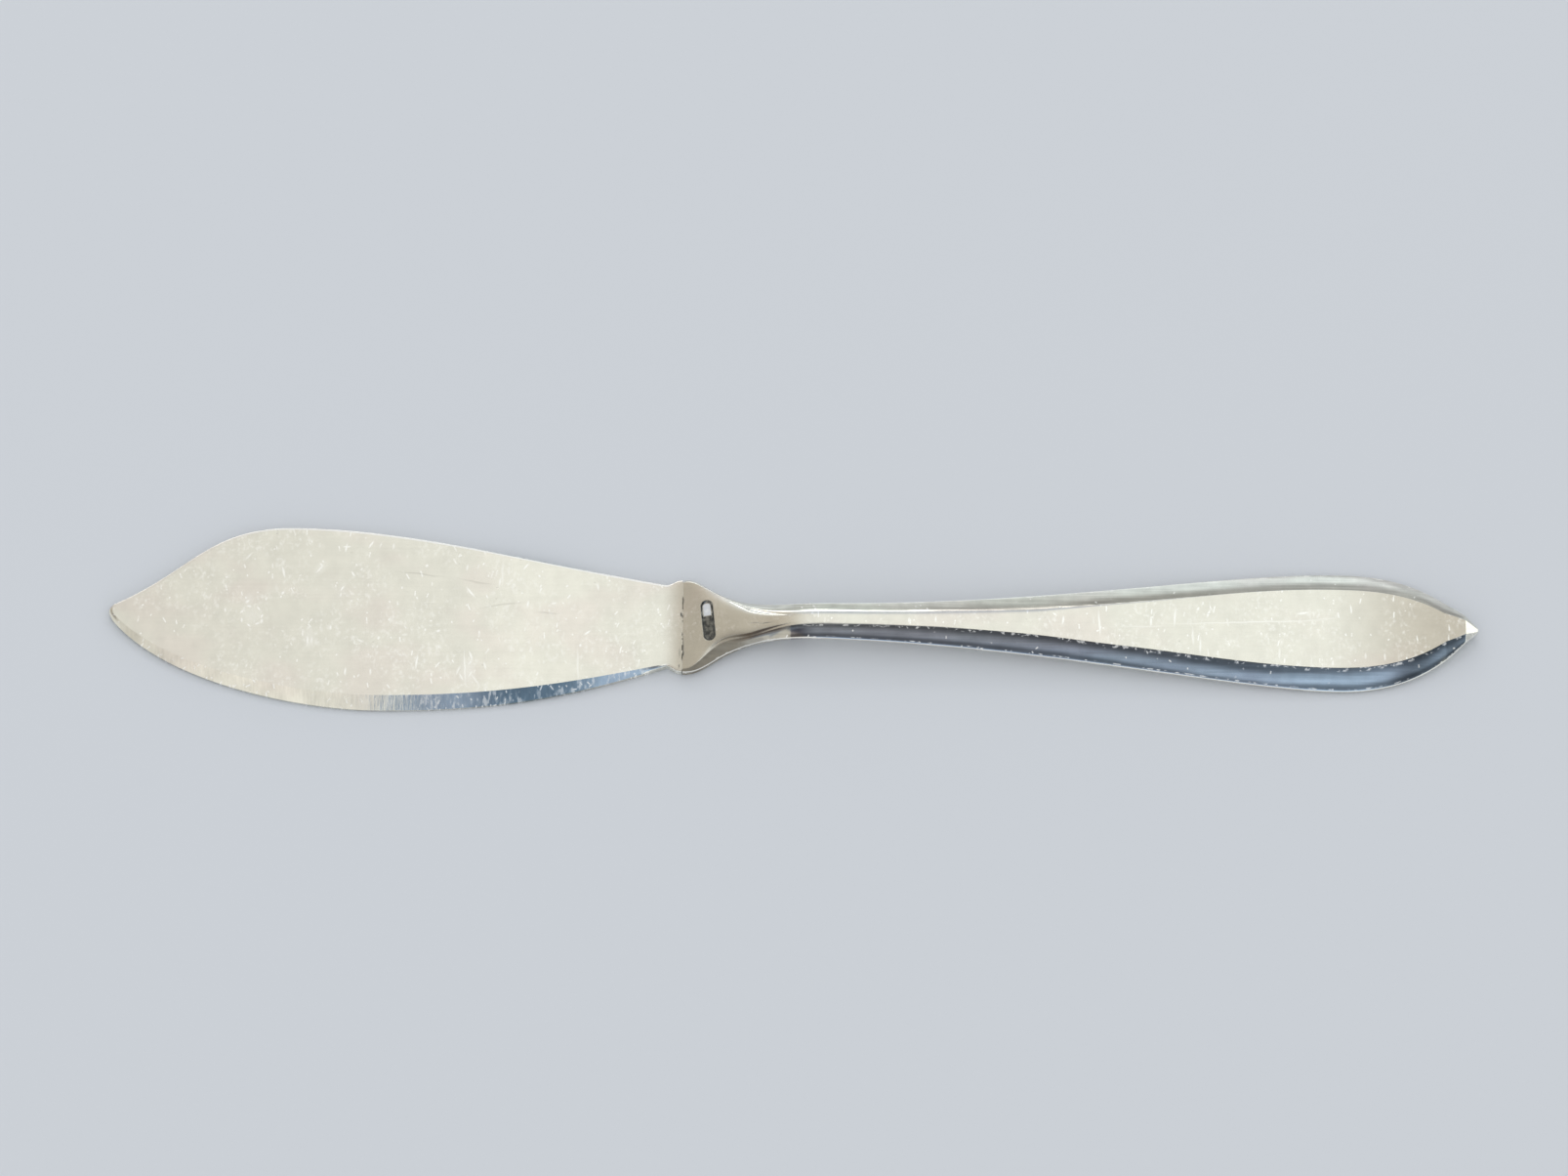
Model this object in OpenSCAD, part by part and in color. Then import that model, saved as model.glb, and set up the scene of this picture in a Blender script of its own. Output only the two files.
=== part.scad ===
// Butter knife: a broad leaf-shaped blade soldered to a slim raised neck and a flat pointed handle.
// It lies on its back. +X runs from the blade's nose to the handle's tip, +Y points to the spine's side
// and +Z is up. The origin is the middle of its footprint, on the surface that it lies on.

/* [Blade] */
// Length from the seam to the nose
blade_length = 71.3; // [60:0.1:85]
// Thickness of the sheet
blade_thickness = 1.3; // [1:0.05:1.8]
// Height of the spine's crest over the knife's axis
spine_height = 12.8; // [10:0.1:16]
// Distance from the seam to the crest
crest_from_seam = 48.6; // [42:0.1:54]
// Depth of the belly under the knife's axis
belly_depth = 11.2; // [9:0.1:14]
// Distance from the seam to the belly's lowest point
belly_from_seam = 37.7; // [30:0.1:48]
// Height of the spine over the axis where it leaves the ear
spine_root = 5.5; // [4.5:0.1:5.8]
// Depth of the belly under the axis where it leaves the ear
belly_root = 5.35; // [4.5:0.05:5.8]
// Height of the nose's middle over the axis
nose_rise = 1.25; // [-2:0.05:4]
// Width of the blunt nose
nose_width = 2.3; // [1.5:0.1:5]
// How far the nose bulges past its two corners
nose_bulge = 0.7; // [0.2:0.05:1.2]
// Rounding of the sheet's plain edges
edge_round = 0.3; // [0.1:0.05:0.4]
// Width of the ground edge where the belly is lowest
grind_width = 1.7; // [1:0.1:3.5]
// Width of the ground edge where it meets the nose
nose_grind = 0.6; // [0.4:0.1:1]
// Thickness left at the ground edge
edge_thickness = 0.4; // [0.3:0.05:0.7]
// Rounding under the ground edge
edge_relief = 0.1; // [0.05:0.01:0.2]

/* [Shoulder] */
// Width across the two ears at the seam
ear_width = 12.2; // [12:0.1:14]
// Length of an ear ahead of the seam
ear_length = 1.9; // [1.2:0.1:3]
// Step from the blade's face up to the shoulder
shoulder_step = 0.15; // [0.05:0.05:0.4]

/* [Neck] */
// Distance from the seam to the narrowest place of the neck
neck_from_seam = 13; // [10:0.5:20]
// Distance from the seam to the highest place of the neck
crown_from_seam = 18; // [12:0.5:24]
// Width of the neck
neck_width = 4.6; // [4:0.1:7]
// Thickness of the neck
neck_thickness = 2.7; // [2.2:0.1:4]
// Height of the neck's underside over the surface
neck_lift = 1.5; // [0.5:0.1:4]
// Width of the flat strip along the top of the neck
neck_flat = 1.4; // [0.8:0.1:2.4]
// Drop from that strip to the middle of the neck's side
neck_bevel = 0.8; // [0.5:0.05:1.2]
// Width of the flat under the neck
neck_keel = 2.3; // [1.5:0.1:4]

/* [Grip] */
// Length of the handle from the seam to its tip
handle_length = 98.7; // [90:0.1:115]
// Distance from the seam to the broadest place
broad_from_seam = 81.4; // [60:0.1:84]
// Width at the broadest place
handle_width = 15.6; // [12:0.1:20]
// Thickness at the broadest place
handle_thickness = 2.15; // [1.6:0.05:3.5]
// Width of the flat face at the broadest place
handle_flat = 10.4; // [7:0.1:11]
// Drop from that face to the middle of the side
handle_bevel = 1.7; // [1:0.05:1.8]
// Width of the rounding along the grip's back
back_round = 0.9; // [0.4:0.1:2]
// Height of the narrow face along the sides
side_face = 0.4; // [0.2:0.05:0.6]
// Thickness at the tip before its last facet
end_thickness = 2.5; // [1.6:0.05:3.5]
// Height of the underside over the surface at the tip
end_lift = 0.5; // [0.1:0.05:3]
// Height of the side over the underside at the tip
tip_side = 0.8; // [0.4:0.05:1.4]
// Length of the facet that cuts the tip
tip_facet = 1.6; // [0.8:0.1:3]
// Width that is left at the very tip
tip_width = 0.6; // [0.4:0.1:2]
// How far the tip lies off the axis towards the spine's side
tip_offset = 0.1; // [-1:0.05:1]

/* [Joint] */
// Length of the tongue that enters the shoulder
tongue_length = 4; // [2.5:0.1:5]
// Width of the tongue
tongue_width = 3.6; // [2:0.1:4.2]
// Thickness of the solder round the tongue
solder_gap = 0.1; // [0.05:0.01:0.15]
// Thickness of the solder in the seam
seam_gap = 0.12; // [0.06:0.01:0.2]
// Metal left under the slot
slot_wall = 0.25; // [0.2:0.01:0.3]

/* [Mark] */
// Length of the blank oval recess across the shoulder
mark_length = 5.4; // [3:0.1:6]
// Width of the recess
mark_width = 1.65; // [1:0.05:2]
// Depth of the recess
mark_depth = 0.25; // [0.1:0.01:0.35]
// Distance from the seam to the middle of the recess
mark_from_seam = 2.9; // [2:0.1:4]
// Distance from the axis to the middle of the recess, towards the spine's side
mark_offset = 0.4; // [-1:0.1:1]
// Lean of the recess towards the blade
mark_lean = 6; // [-15:1:15]

/* [Hidden] */
$fn = 48;
SILVER = "#c9c6bb";
SOLDER = "#77736a";

// The seam's place along X and the axis' place along Y centre the knife on its footprint.
seam_x = (blade_length + seam_gap - handle_length) / 2;
axis_y = (belly_depth - spine_height) / 2;

// Points along each stretch of the outlines
EAR_STEPS = 6;
LONG_STEPS = 24;
NOSE_STEPS = 8;

// How far each curve follows the line it starts or ends on, as a share of its length
EAR_LEVEL = 0.5;
EAR_CURL = 0.7;
SPINE_PULL = 0.32;
SPINE_CLIMB = 0.34;
CLIP_PULL = 0.49;
TAPER_PULL = 0.42;
NOSE_PULL = 0.25;
ENTRY_PULL = 0.21;
ENTRY_DROP = 0.7;
ENTRY_END = 0.29;
BELLY_PULL = 0.33;
ROOT_PULL = 0.4;
ROOT_CLIMB = 0.82;
SHOULDER_PULL = 0.2;
SHOULDER_DROP = 0.1;
NECK_PULL = 0.3;
FLARE_START = 0.44;
FLARE_END = 0.21;
END_PULL = 0.52;
TIP_PULL = 0.24;
TIP_SPREAD = 0.56;

ear_half = ear_width / 2;
neck_half = neck_width / 2;
broad_half = handle_width / 2;
tongue_bottom = slot_wall + solder_gap;
tongue_thickness = blade_thickness - 2 * tongue_bottom;
slot_end = tongue_length + solder_gap;
// Overlap that makes a cut pass clear through a face
CUT = 1;

function lerp(a, b, t) = a + (b - a) * t;
function clamp(t) = min(max(t, 0), 1);
function smooth(t) = let (c = clamp(t)) c * c * (3 - 2 * c);
function ease_out(t) = 1 - pow(1 - clamp(t), 2);
function bezier(p, t) =
    pow(1 - t, 3) * p[0] + 3 * t * pow(1 - t, 2) * p[1] + 3 * t * t * (1 - t) * p[2] + pow(t, 3) * p[3];
function curve(p, steps) = [for (i = [0 : steps - 1]) bezier(p, i / steps)];

// Closed skin over rings of equal length that run counterclockwise seen from the last ring
module skin(rings) {
    count = len(rings[0]);
    last = len(rings) - 1;
    points = [for (ring = rings) each ring];
    sides = [
        for (i = [0 : last - 1], j = [0 : count - 1])
            let (k = (j + 1) % count, a = i * count + j, b = i * count + k)
                each [[a, a + count, b + count], [a, b + count, b]]
    ];
    bottom = [for (j = [0 : count - 1]) j];
    top = [for (j = [count - 1 : -1 : 0]) last * count + j];
    polyhedron(points, concat([bottom], sides, [top]));
}

// The blade's outline from the spine's ear round the nose to the belly's ear, from the seam and the axis.
// The third value of a point is the width of the ground edge there, or the plain rounding.
nose_x = nose_bulge - blade_length;
nose_top = nose_rise + nose_width / 2;
nose_foot = nose_rise - nose_width / 2;
spine_run = crest_from_seam - ear_length;
clip_run = -nose_x - crest_from_seam;
entry_run = -nose_x - belly_from_seam;
belly_run = belly_from_seam - ear_length;

spine_ear = [
    [0, ear_half],
    [-ear_length * EAR_LEVEL, ear_half],
    [-ear_length * EAR_CURL, spine_root],
    [-ear_length, spine_root]
];
spine_curve = [
    [-ear_length, spine_root],
    [-ear_length - SPINE_PULL * spine_run, lerp(spine_root, spine_height, SPINE_CLIMB)],
    [-crest_from_seam + SPINE_PULL * spine_run, spine_height],
    [-crest_from_seam, spine_height]
];
clip_curve = [
    [-crest_from_seam, spine_height],
    [-crest_from_seam - CLIP_PULL * clip_run, spine_height],
    [nose_x + TAPER_PULL * clip_run, lerp(nose_top, spine_height, TAPER_PULL)],
    [nose_x, nose_top]
];
// A curve reaches three quarters of its handles' bulge, and the nose runs smoothly into the belly.
nose_pull = nose_bulge * 4 / 3;
entry_slope = ENTRY_DROP * (nose_foot + belly_depth) / (ENTRY_PULL * entry_run);
nose_curve = [
    [nose_x, nose_top],
    [nose_x - nose_pull, lerp(nose_top, nose_foot, NOSE_PULL)],
    [nose_x - nose_pull, nose_foot + nose_pull * entry_slope],
    [nose_x, nose_foot]
];
entry_curve = [
    [nose_x, nose_foot],
    [nose_x + ENTRY_PULL * entry_run, lerp(nose_foot, -belly_depth, ENTRY_DROP)],
    [-belly_from_seam - ENTRY_END * entry_run, -belly_depth],
    [-belly_from_seam, -belly_depth]
];
belly_curve = [
    [-belly_from_seam, -belly_depth],
    [-belly_from_seam + BELLY_PULL * belly_run, -belly_depth],
    [-ear_length - ROOT_PULL * belly_run, lerp(-belly_root, -belly_depth, ROOT_CLIMB)],
    [-ear_length, -belly_root]
];
belly_ear = [
    [-ear_length, -belly_root],
    [-ear_length * EAR_CURL, -belly_root],
    [-ear_length * EAR_LEVEL, -ear_half],
    [0, -ear_half]
];

function dressed(points, first, last) = [
    for (i = [0 : len(points) - 1]) [points[i].x, points[i].y, lerp(first, last, i / len(points))]
];
blade_outline = concat(
    dressed(curve(spine_ear, EAR_STEPS), edge_round, edge_round),
    dressed(curve(spine_curve, LONG_STEPS), edge_round, edge_round),
    dressed(curve(clip_curve, LONG_STEPS), edge_round, edge_round),
    dressed(curve(nose_curve, NOSE_STEPS), edge_round, nose_grind),
    dressed(curve(entry_curve, LONG_STEPS), nose_grind, grind_width),
    dressed(curve(belly_curve, LONG_STEPS), grind_width, edge_round),
    dressed(curve(belly_ear, EAR_STEPS), edge_round, edge_round),
    [[0, -ear_half, edge_round]]
);

// Unit vector into the blade at a point of its outline; the two seam corners keep to the seam's face.
function inward(i) =
    i == 0 ? [0, -1]
    : i == len(blade_outline) - 1 ? [0, 1]
    : let (d = blade_outline[i + 1] - blade_outline[i - 1]) [-d.y, d.x] / norm([d.x, d.y]);
function blade_ring(insets, heights) = [
    for (i = [0 : len(blade_outline) - 1])
        let (p = blade_outline[i], q = [p.x, p.y] + inward(i) * insets[i])
            [min(q.x - seam_gap, -seam_gap), q.y, heights[i]]
];

module tongue_block(start) {
    translate([start, -tongue_width / 2, tongue_bottom])
        cube([tongue_length - start, tongue_width, tongue_thickness]);
}

module slot_block(start) {
    translate([start, -tongue_width / 2 - solder_gap, slot_wall])
        cube([slot_end - start, tongue_width + 2 * solder_gap, blade_thickness - 2 * slot_wall]);
}

// Places a shape that is drawn from the seam and the axis.
module on_axis() {
    translate([seam_x, axis_y, 0]) children();
}

// The sheet is cut between its back face and its front face by the rounding and the ground edge.
module blade() {
    // Share of the full grind at each point of the outline
    grind = [for (p = blade_outline) (p.z - edge_round) / (grind_width - edge_round)];
    plain = [for (p = blade_outline) edge_round];
    widths = [for (p = blade_outline) p.z];
    none = [for (p = blade_outline) 0];
    low = [for (g = grind) lerp(edge_round, edge_relief, g)];
    high = [for (g = grind) lerp(blade_thickness - edge_round, edge_thickness, g)];
    front = [for (p = blade_outline) blade_thickness];
    color(SILVER) on_axis() {
        skin([blade_ring(plain, none), blade_ring(none, low), blade_ring(none, high), blade_ring(widths, front)]);
        tongue_block(-seam_gap - CUT);
    }
}

// The handle's half width along its length, from the seam to the tip
shoulder_curve = [
    [0, ear_half],
    [SHOULDER_PULL * neck_from_seam, lerp(ear_half, neck_half, SHOULDER_DROP)],
    [NECK_PULL * neck_from_seam, neck_half],
    [neck_from_seam, neck_half]
];
flare_run = broad_from_seam - neck_from_seam;
flare_curve = [
    [neck_from_seam, neck_half],
    [neck_from_seam + FLARE_START * flare_run, neck_half],
    [broad_from_seam - FLARE_END * flare_run, broad_half],
    [broad_from_seam, broad_half]
];
end_run = handle_length - broad_from_seam;
end_curve = [
    [broad_from_seam, broad_half],
    [broad_from_seam + END_PULL * end_run, broad_half],
    [handle_length - TIP_PULL * end_run, broad_half * TIP_SPREAD],
    [handle_length, tip_width / 2]
];
handle_outline = concat(
    curve(shoulder_curve, LONG_STEPS),
    curve(flare_curve, LONG_STEPS),
    curve(end_curve, LONG_STEPS),
    [end_curve[3]]
);

// A height or width that passes through its values at the seam, the neck's crown, the broadest place and the tip
function along(s, at_seam, at_crown, at_broad, at_tip) =
    s < crown_from_seam ? lerp(at_seam, at_crown, ease_out(s / crown_from_seam))
    : s < broad_from_seam
        ? lerp(at_crown, at_broad, (s - crown_from_seam) / (broad_from_seam - crown_from_seam))
    : lerp(at_broad, at_tip, pow((s - broad_from_seam) / end_run, 2));

shoulder_thickness = blade_thickness + shoulder_step;
neck_top = neck_lift + neck_thickness;
end_top = end_lift + end_thickness;
// Share of the width that the top and the back keep where the bevels crowd the tip
LEAST_FACE = 0.42;

function top_line(s) = along(s, shoulder_thickness, neck_top, handle_thickness, end_top);
function side_line(s) =
    along(s, shoulder_thickness / 2, neck_top - neck_bevel, handle_thickness - handle_bevel, end_lift + tip_side);
function side_half(s) =
    along(s, shoulder_thickness / 2 - edge_round, side_face / 2, side_face / 2, side_face / 2);
function bevel_run(s) =
    along(s, edge_round, (neck_width - neck_flat) / 2, (handle_width - handle_flat) / 2, tip_facet);
function back_run(s) = along(s, edge_round, (neck_width - neck_keel) / 2, back_round, back_round);
// The underside stays flat below the slot and rises behind it.
function back_line(s) =
    s < crown_from_seam ? neck_lift * smooth((s - slot_end) / (crown_from_seam - slot_end))
    : along(s, 0, neck_lift, 0, end_lift);
// The last facet takes the top down to the side.
function cut_line(s) =
    lerp(top_line(s), side_line(s) + side_face, clamp((s - handle_length + tip_facet) / tip_facet));

// Cross-section with a flat top, two bevels, narrow sides and a flat back between two under-bevels
function handle_ring(s, w) =
    let (
        middle = tip_offset * smooth((s - broad_from_seam) / end_run),
        flat = max(w - bevel_run(s), w * LEAST_FACE),
        back = max(w - back_run(s), w * LEAST_FACE),
        high = side_line(s) + side_half(s),
        low = side_line(s) - side_half(s)
    )
    [
        [s, middle + flat, cut_line(s)],
        [s, middle - flat, cut_line(s)],
        [s, middle - w, high],
        [s, middle - w, low],
        [s, middle - back, back_line(s)],
        [s, middle + back, back_line(s)],
        [s, middle + w, low],
        [s, middle + w, high]
    ];

// The recess is a round-ended groove that sinks into the shoulder's slope.
module mark_cutter() {
    radius = (pow(mark_width / 2, 2) + pow(mark_depth, 2)) / (2 * mark_depth);
    reach = (mark_length - mark_width) / 2;
    probe = mark_width / 2;
    slope = atan2(top_line(mark_from_seam + probe) - top_line(mark_from_seam - probe), 2 * probe);
    translate([mark_from_seam, mark_offset, top_line(mark_from_seam)])
        rotate([0, -slope, mark_lean])
            translate([0, 0, radius - mark_depth]) {
                rotate([90, 0, 0]) cylinder(r = radius, h = 2 * reach, center = true);
                for (side = [-1, 1]) translate([0, side * reach, 0]) sphere(r = radius);
            }
}

module handle() {
    color(SILVER) on_axis()
        difference() {
            skin([for (p = handle_outline) handle_ring(p.x, p.y)]);
            slot_block(-CUT);
            mark_cutter();
        }
}

// The film in the seam lies behind the rounded edges, so a fine groove shows round it.
module solder() {
    film_width = ear_width - 2 * edge_round;
    film_height = blade_thickness - 2 * edge_round;
    color(SOLDER) on_axis()
        difference() {
            union() {
                slot_block(-seam_gap);
                translate([-seam_gap, -film_width / 2, edge_round])
                    cube([seam_gap, film_width, film_height]);
            }
            tongue_block(-CUT);
        }
}

blade();
handle();
solder();
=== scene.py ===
"""Looks of the butter knife: a scratched silver blade and handle joined by a tarnished solder seam.

Lengths are millimetres in the fields below and become metres where a mesh is placed. +X runs from the
blade's nose to the handle's tip, +Y points to the spine's side and +Z is up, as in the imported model.
"""

import logging
import math
from dataclasses import dataclass
from enum import Enum
from functools import cached_property, partial, reduce
from typing import Any, Callable, Iterable, NamedTuple, Sequence, Union

import bmesh
import bpy
from mathutils import Euler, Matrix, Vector, noise


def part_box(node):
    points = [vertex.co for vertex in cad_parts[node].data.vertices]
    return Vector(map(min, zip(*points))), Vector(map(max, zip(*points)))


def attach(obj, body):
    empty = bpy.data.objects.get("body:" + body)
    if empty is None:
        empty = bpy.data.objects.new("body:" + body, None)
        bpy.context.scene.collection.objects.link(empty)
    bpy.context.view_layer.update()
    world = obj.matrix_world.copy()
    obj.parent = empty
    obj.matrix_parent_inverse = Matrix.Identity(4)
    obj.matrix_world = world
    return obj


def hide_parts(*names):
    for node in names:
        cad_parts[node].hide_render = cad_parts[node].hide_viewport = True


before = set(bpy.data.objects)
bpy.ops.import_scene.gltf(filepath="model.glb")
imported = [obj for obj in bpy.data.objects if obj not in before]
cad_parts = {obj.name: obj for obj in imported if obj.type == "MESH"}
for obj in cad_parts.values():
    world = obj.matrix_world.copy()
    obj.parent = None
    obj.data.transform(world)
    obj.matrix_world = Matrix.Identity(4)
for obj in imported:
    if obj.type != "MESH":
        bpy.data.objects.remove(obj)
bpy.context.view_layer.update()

LOG = logging.getLogger("butter_knife")
MM = 0.001
BODY = "root"
SEAM_GAP = 0.12
SEAM_INSET = 0.3
EAR_HALF = 6.1
HALVINGS = 40
QUARTERS = (0.0, 0.25, 0.5, 0.75, 1.0)

Point = tuple[float, float]
Triple = tuple[float, float, float]
Colour = tuple[float, float, float]
Course = tuple[Point, ...]
Window = tuple[float, float, float, float]
Profile = tuple[float, float, float, float]
Stops = tuple[tuple[float, Colour], ...]
Number = Union[float, "Signal"]


class Slot(Enum):
    """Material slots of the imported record."""

    BLADE = "blade_metal"
    HANDLE = "handle_metal"
    SEAM = "seam_solder"


class Blend(Enum):
    """Ways in which two colours are mixed."""

    MIX = "MIX"
    MULTIPLY = "MULTIPLY"


class VectorWay(Enum):
    """Vector sums that the finishes use."""

    ADD = "ADD"
    SUBTRACT = "SUBTRACT"
    SCALE = "SCALE"
    LENGTH = "LENGTH"


def lerp(a: float, b: float, t: float) -> float:
    """Gives the value at a share of the way from a to b."""
    return a + (b - a) * t


def clamp(t: float) -> float:
    """Keeps a share between 0 and 1."""
    return min(max(t, 0.0), 1.0)


def smooth(t: float) -> float:
    """Eases a share at both of its ends."""
    c = clamp(t)
    return c * c * (3 - 2 * c)


def ease_out(t: float) -> float:
    """Eases a share at its far end."""
    return 1 - (1 - clamp(t)) ** 2


def spread(start: float, end: float, step: float) -> list[float]:
    """Gives even values from start up to, but without, end, about a step apart."""
    count = max(1, round((end - start) / step))
    return [lerp(start, end, index / count) for index in range(count)]


def passing(course: Course, s: float) -> float:
    """Gives a value that eases from stop to stop of its course along s."""
    for (start, first), (end, last) in zip(course, course[1:]):
        if s < end:
            return lerp(first, last, smooth((s - start) / (end - start)))
    return course[-1][1]


@dataclass(frozen=True)
class Bend:
    """A cubic curve from start to end that leaves and arrives along two handles."""

    start: Point
    leave: Point
    arrive: Point
    end: Point

    def at(self, t: float) -> Point:
        """Gives the point at a share of the curve."""
        shares = ((1 - t) ** 3, 3 * t * (1 - t) ** 2, 3 * t * t * (1 - t), t**3)
        points = (self.start, self.leave, self.arrive, self.end)
        x, y = (sum(k * p[axis] for k, p in zip(shares, points)) for axis in (0, 1))
        return x, y

    def height(self, x: float) -> float:
        """Finds the second value where the first one is x, on a curve that never turns back.

        Args:
            x: First value, between those of the curve's ends.

        Returns:
            The second value there.
        """
        low, high = 0.0, 1.0
        for _ in range(HALVINGS):
            middle = (low + high) / 2
            if self.at(middle)[0] < x:
                low = middle
            else:
                high = middle
        return self.at((low + high) / 2)[1]


class Stretch(NamedTuple):
    """A part of the blade's outline: its curve, its steps, its edge's width at both ends and their pace.

    The pace turns a share of the way into a share of the width's change. Left out, it is even.
    """

    bend: Bend
    steps: int
    first: float
    last: float
    pace: Callable[[float], float] = clamp


@dataclass(frozen=True)
class Datum:
    """Where the seam lies along X and the knife's axis along Y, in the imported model's frame."""

    seam_x: float
    axis_y: float

    @classmethod
    def from_frame(cls) -> "Datum":
        """Reads both from the box of the CAD handle, which starts at the seam and is even about the axis."""
        low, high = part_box("handle")
        return cls(low.x / MM, (low.y + high.y) / 2 / MM)

    def place(self, along: float, across: float, up: float) -> Vector:
        """Turns a place from the seam and the axis into metres of the frame."""
        return Vector((self.seam_x + along, self.axis_y + across, up)) * MM


class RingPoint(NamedTuple):
    """A point of a ring: its place, its edge's wear and painted highlight, and how far down a bevel it lies.
    """

    place: Vector
    worn_sheen: float = 0.0
    slope: float = 0.0


class RingDraw:
    """A closed solid that is drawn out ring by ring from a circle, as a bar is drawn out of its section."""

    SEAT = "seat"
    WEAR_SHEEN = "edge_wear_sheen"
    SLOPE = "bevel_share"
    SHARP = 38.0

    def __init__(self, name: str, rings: Sequence[Sequence[RingPoint]]) -> None:
        """Adds the circle, draws it out over the rings and fills the holes at both ends.

        Args:
            name: Name of the piece.
            rings: The points of each ring.
        """
        bpy.ops.object.select_all(action="DESELECT")
        bpy.ops.mesh.primitive_circle_add(vertices=len(rings[0]), radius=MM, fill_type="NOTHING")
        self.piece = bpy.context.object
        self.piece.name = name
        self.piece.data.name = name
        bpy.ops.object.mode_set(mode="EDIT")
        mesh = bmesh.from_edit_mesh(self.piece.data)
        mesh.verts.layers.float.new(self.WEAR_SHEEN)
        mesh.verts.layers.float.new(self.SLOPE)
        seat = mesh.verts.layers.int.new(self.SEAT)
        for index, vert in enumerate(mesh.verts):
            vert[seat] = index
        self._lay(rings[0])
        for ring in rings[1:]:
            bpy.ops.mesh.extrude_region_move()
            self._lay(ring)
        bpy.ops.mesh.select_all(action="SELECT")
        bpy.ops.mesh.fill_holes(sides=0)

    def _lay(self, ring: Sequence[RingPoint]) -> None:
        """Moves the selected ring onto its points, each vertex by the seat that it keeps in extrusion."""
        mesh = bmesh.from_edit_mesh(self.piece.data)
        seat = mesh.verts.layers.int[self.SEAT]
        wear_sheen = mesh.verts.layers.float[self.WEAR_SHEEN]
        slope = mesh.verts.layers.float[self.SLOPE]
        for vert in mesh.verts:
            if vert.select:
                vert.co, vert[wear_sheen], vert[slope] = ring[vert[seat]]
        bmesh.update_edit_mesh(self.piece.data)

    def cut_across(self, along: float) -> None:
        """Cuts all faces where a plane across X meets them."""
        bpy.ops.mesh.select_all(action="SELECT")
        bpy.ops.mesh.bisect(plane_co=(along, 0.0, 0.0), plane_no=(1.0, 0.0, 0.0))

    def reshape(self, move: Callable[[Vector], Vector]) -> None:
        """Moves every vertex by a rule."""
        mesh = bmesh.from_edit_mesh(self.piece.data)
        for vert in mesh.verts:
            vert.co = move(vert.co)
        bmesh.update_edit_mesh(self.piece.data)

    def close(self, sharp: float = SHARP) -> bpy.types.Object:
        """Turns the faces outwards and smooths all but the sharp edges.

        Args:
            sharp: Turn of the surface, in degrees, from which an edge stays sharp.

        Returns:
            The finished piece, at the origin.
        """
        bpy.ops.mesh.select_all(action="SELECT")
        bpy.ops.mesh.normals_make_consistent(inside=False)
        bpy.ops.object.mode_set(mode="OBJECT")
        self.piece.data.attributes.remove(self.piece.data.attributes[self.SEAT])
        bpy.ops.object.shade_smooth_by_angle(angle=math.radians(sharp))
        return self.piece


def operation(name: str, swapped: bool = False) -> Callable[..., "Signal"]:
    """Makes a method that lays one Math node over a signal and what it is given.

    Args:
        name: Name of the node's operation.
        swapped: Whether the signal comes second.

    Returns:
        The method.
    """

    def method(signal: "Signal", *others: Number) -> "Signal":
        """Lays the node over the values, in their order."""
        values = (*others, signal) if swapped else (signal, *others)
        node = signal.bench.node("ShaderNodeMath", {"operation": name}, dict(enumerate(values)))
        return Signal(signal.bench, node.outputs[0])

    return method


class Signal:
    """A value socket that takes part in sums; each sum lays one Math node on the bench."""

    __add__ = operation("ADD")
    __sub__ = operation("SUBTRACT")
    __rsub__ = operation("SUBTRACT", swapped=True)
    __mul__ = operation("MULTIPLY")
    __truediv__ = operation("DIVIDE")
    __abs__ = operation("ABSOLUTE")
    most = operation("MAXIMUM")
    sine = operation("SINE")
    cosine = operation("COSINE")
    arcsine = operation("ARCSINE")

    def __init__(self, bench: "Bench", socket: bpy.types.NodeSocket) -> None:
        """Keeps the socket and the bench that its sums are laid on."""
        self.bench = bench
        self.socket = socket

    def rise(self, start: Number, end: Number) -> "Signal":
        """Climbs smoothly from 0 at start to 1 at end."""
        return self._ramp(start, end, 0.0, 1.0)

    def fall(self, start: Number, end: Number) -> "Signal":
        """Drops smoothly from 1 at start to 0 at end."""
        return self._ramp(start, end, 1.0, 0.0)

    def band(self, start: float, end: float, soft: float) -> "Signal":
        """Is 1 between start and end, with soft sides."""
        return self.window(start - soft, start + soft, end - soft, end + soft)

    def window(self, opens: float, opened: float, closes: float, closed: float) -> "Signal":
        """Climbs to 1 between its first two values and drops to 0 between its last two."""
        return self.rise(opens, opened) * self.fall(closes, closed)

    def _ramp(self, start: Number, end: Number, first: float, last: float) -> "Signal":
        """Lays a smooth Map Range node."""
        sockets = {"Value": self, "From Min": start, "From Max": end, "To Min": first, "To Max": last}
        node = self.bench.node("ShaderNodeMapRange", {"interpolation_type": "SMOOTHSTEP"}, sockets)
        return Signal(self.bench, node.outputs[0])


def top_of(masks: Iterable[Signal]) -> Signal:
    """Takes the strongest of several masks at each place, and joins each one as soon as it is laid."""
    return reduce(Signal.most, masks)


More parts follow.
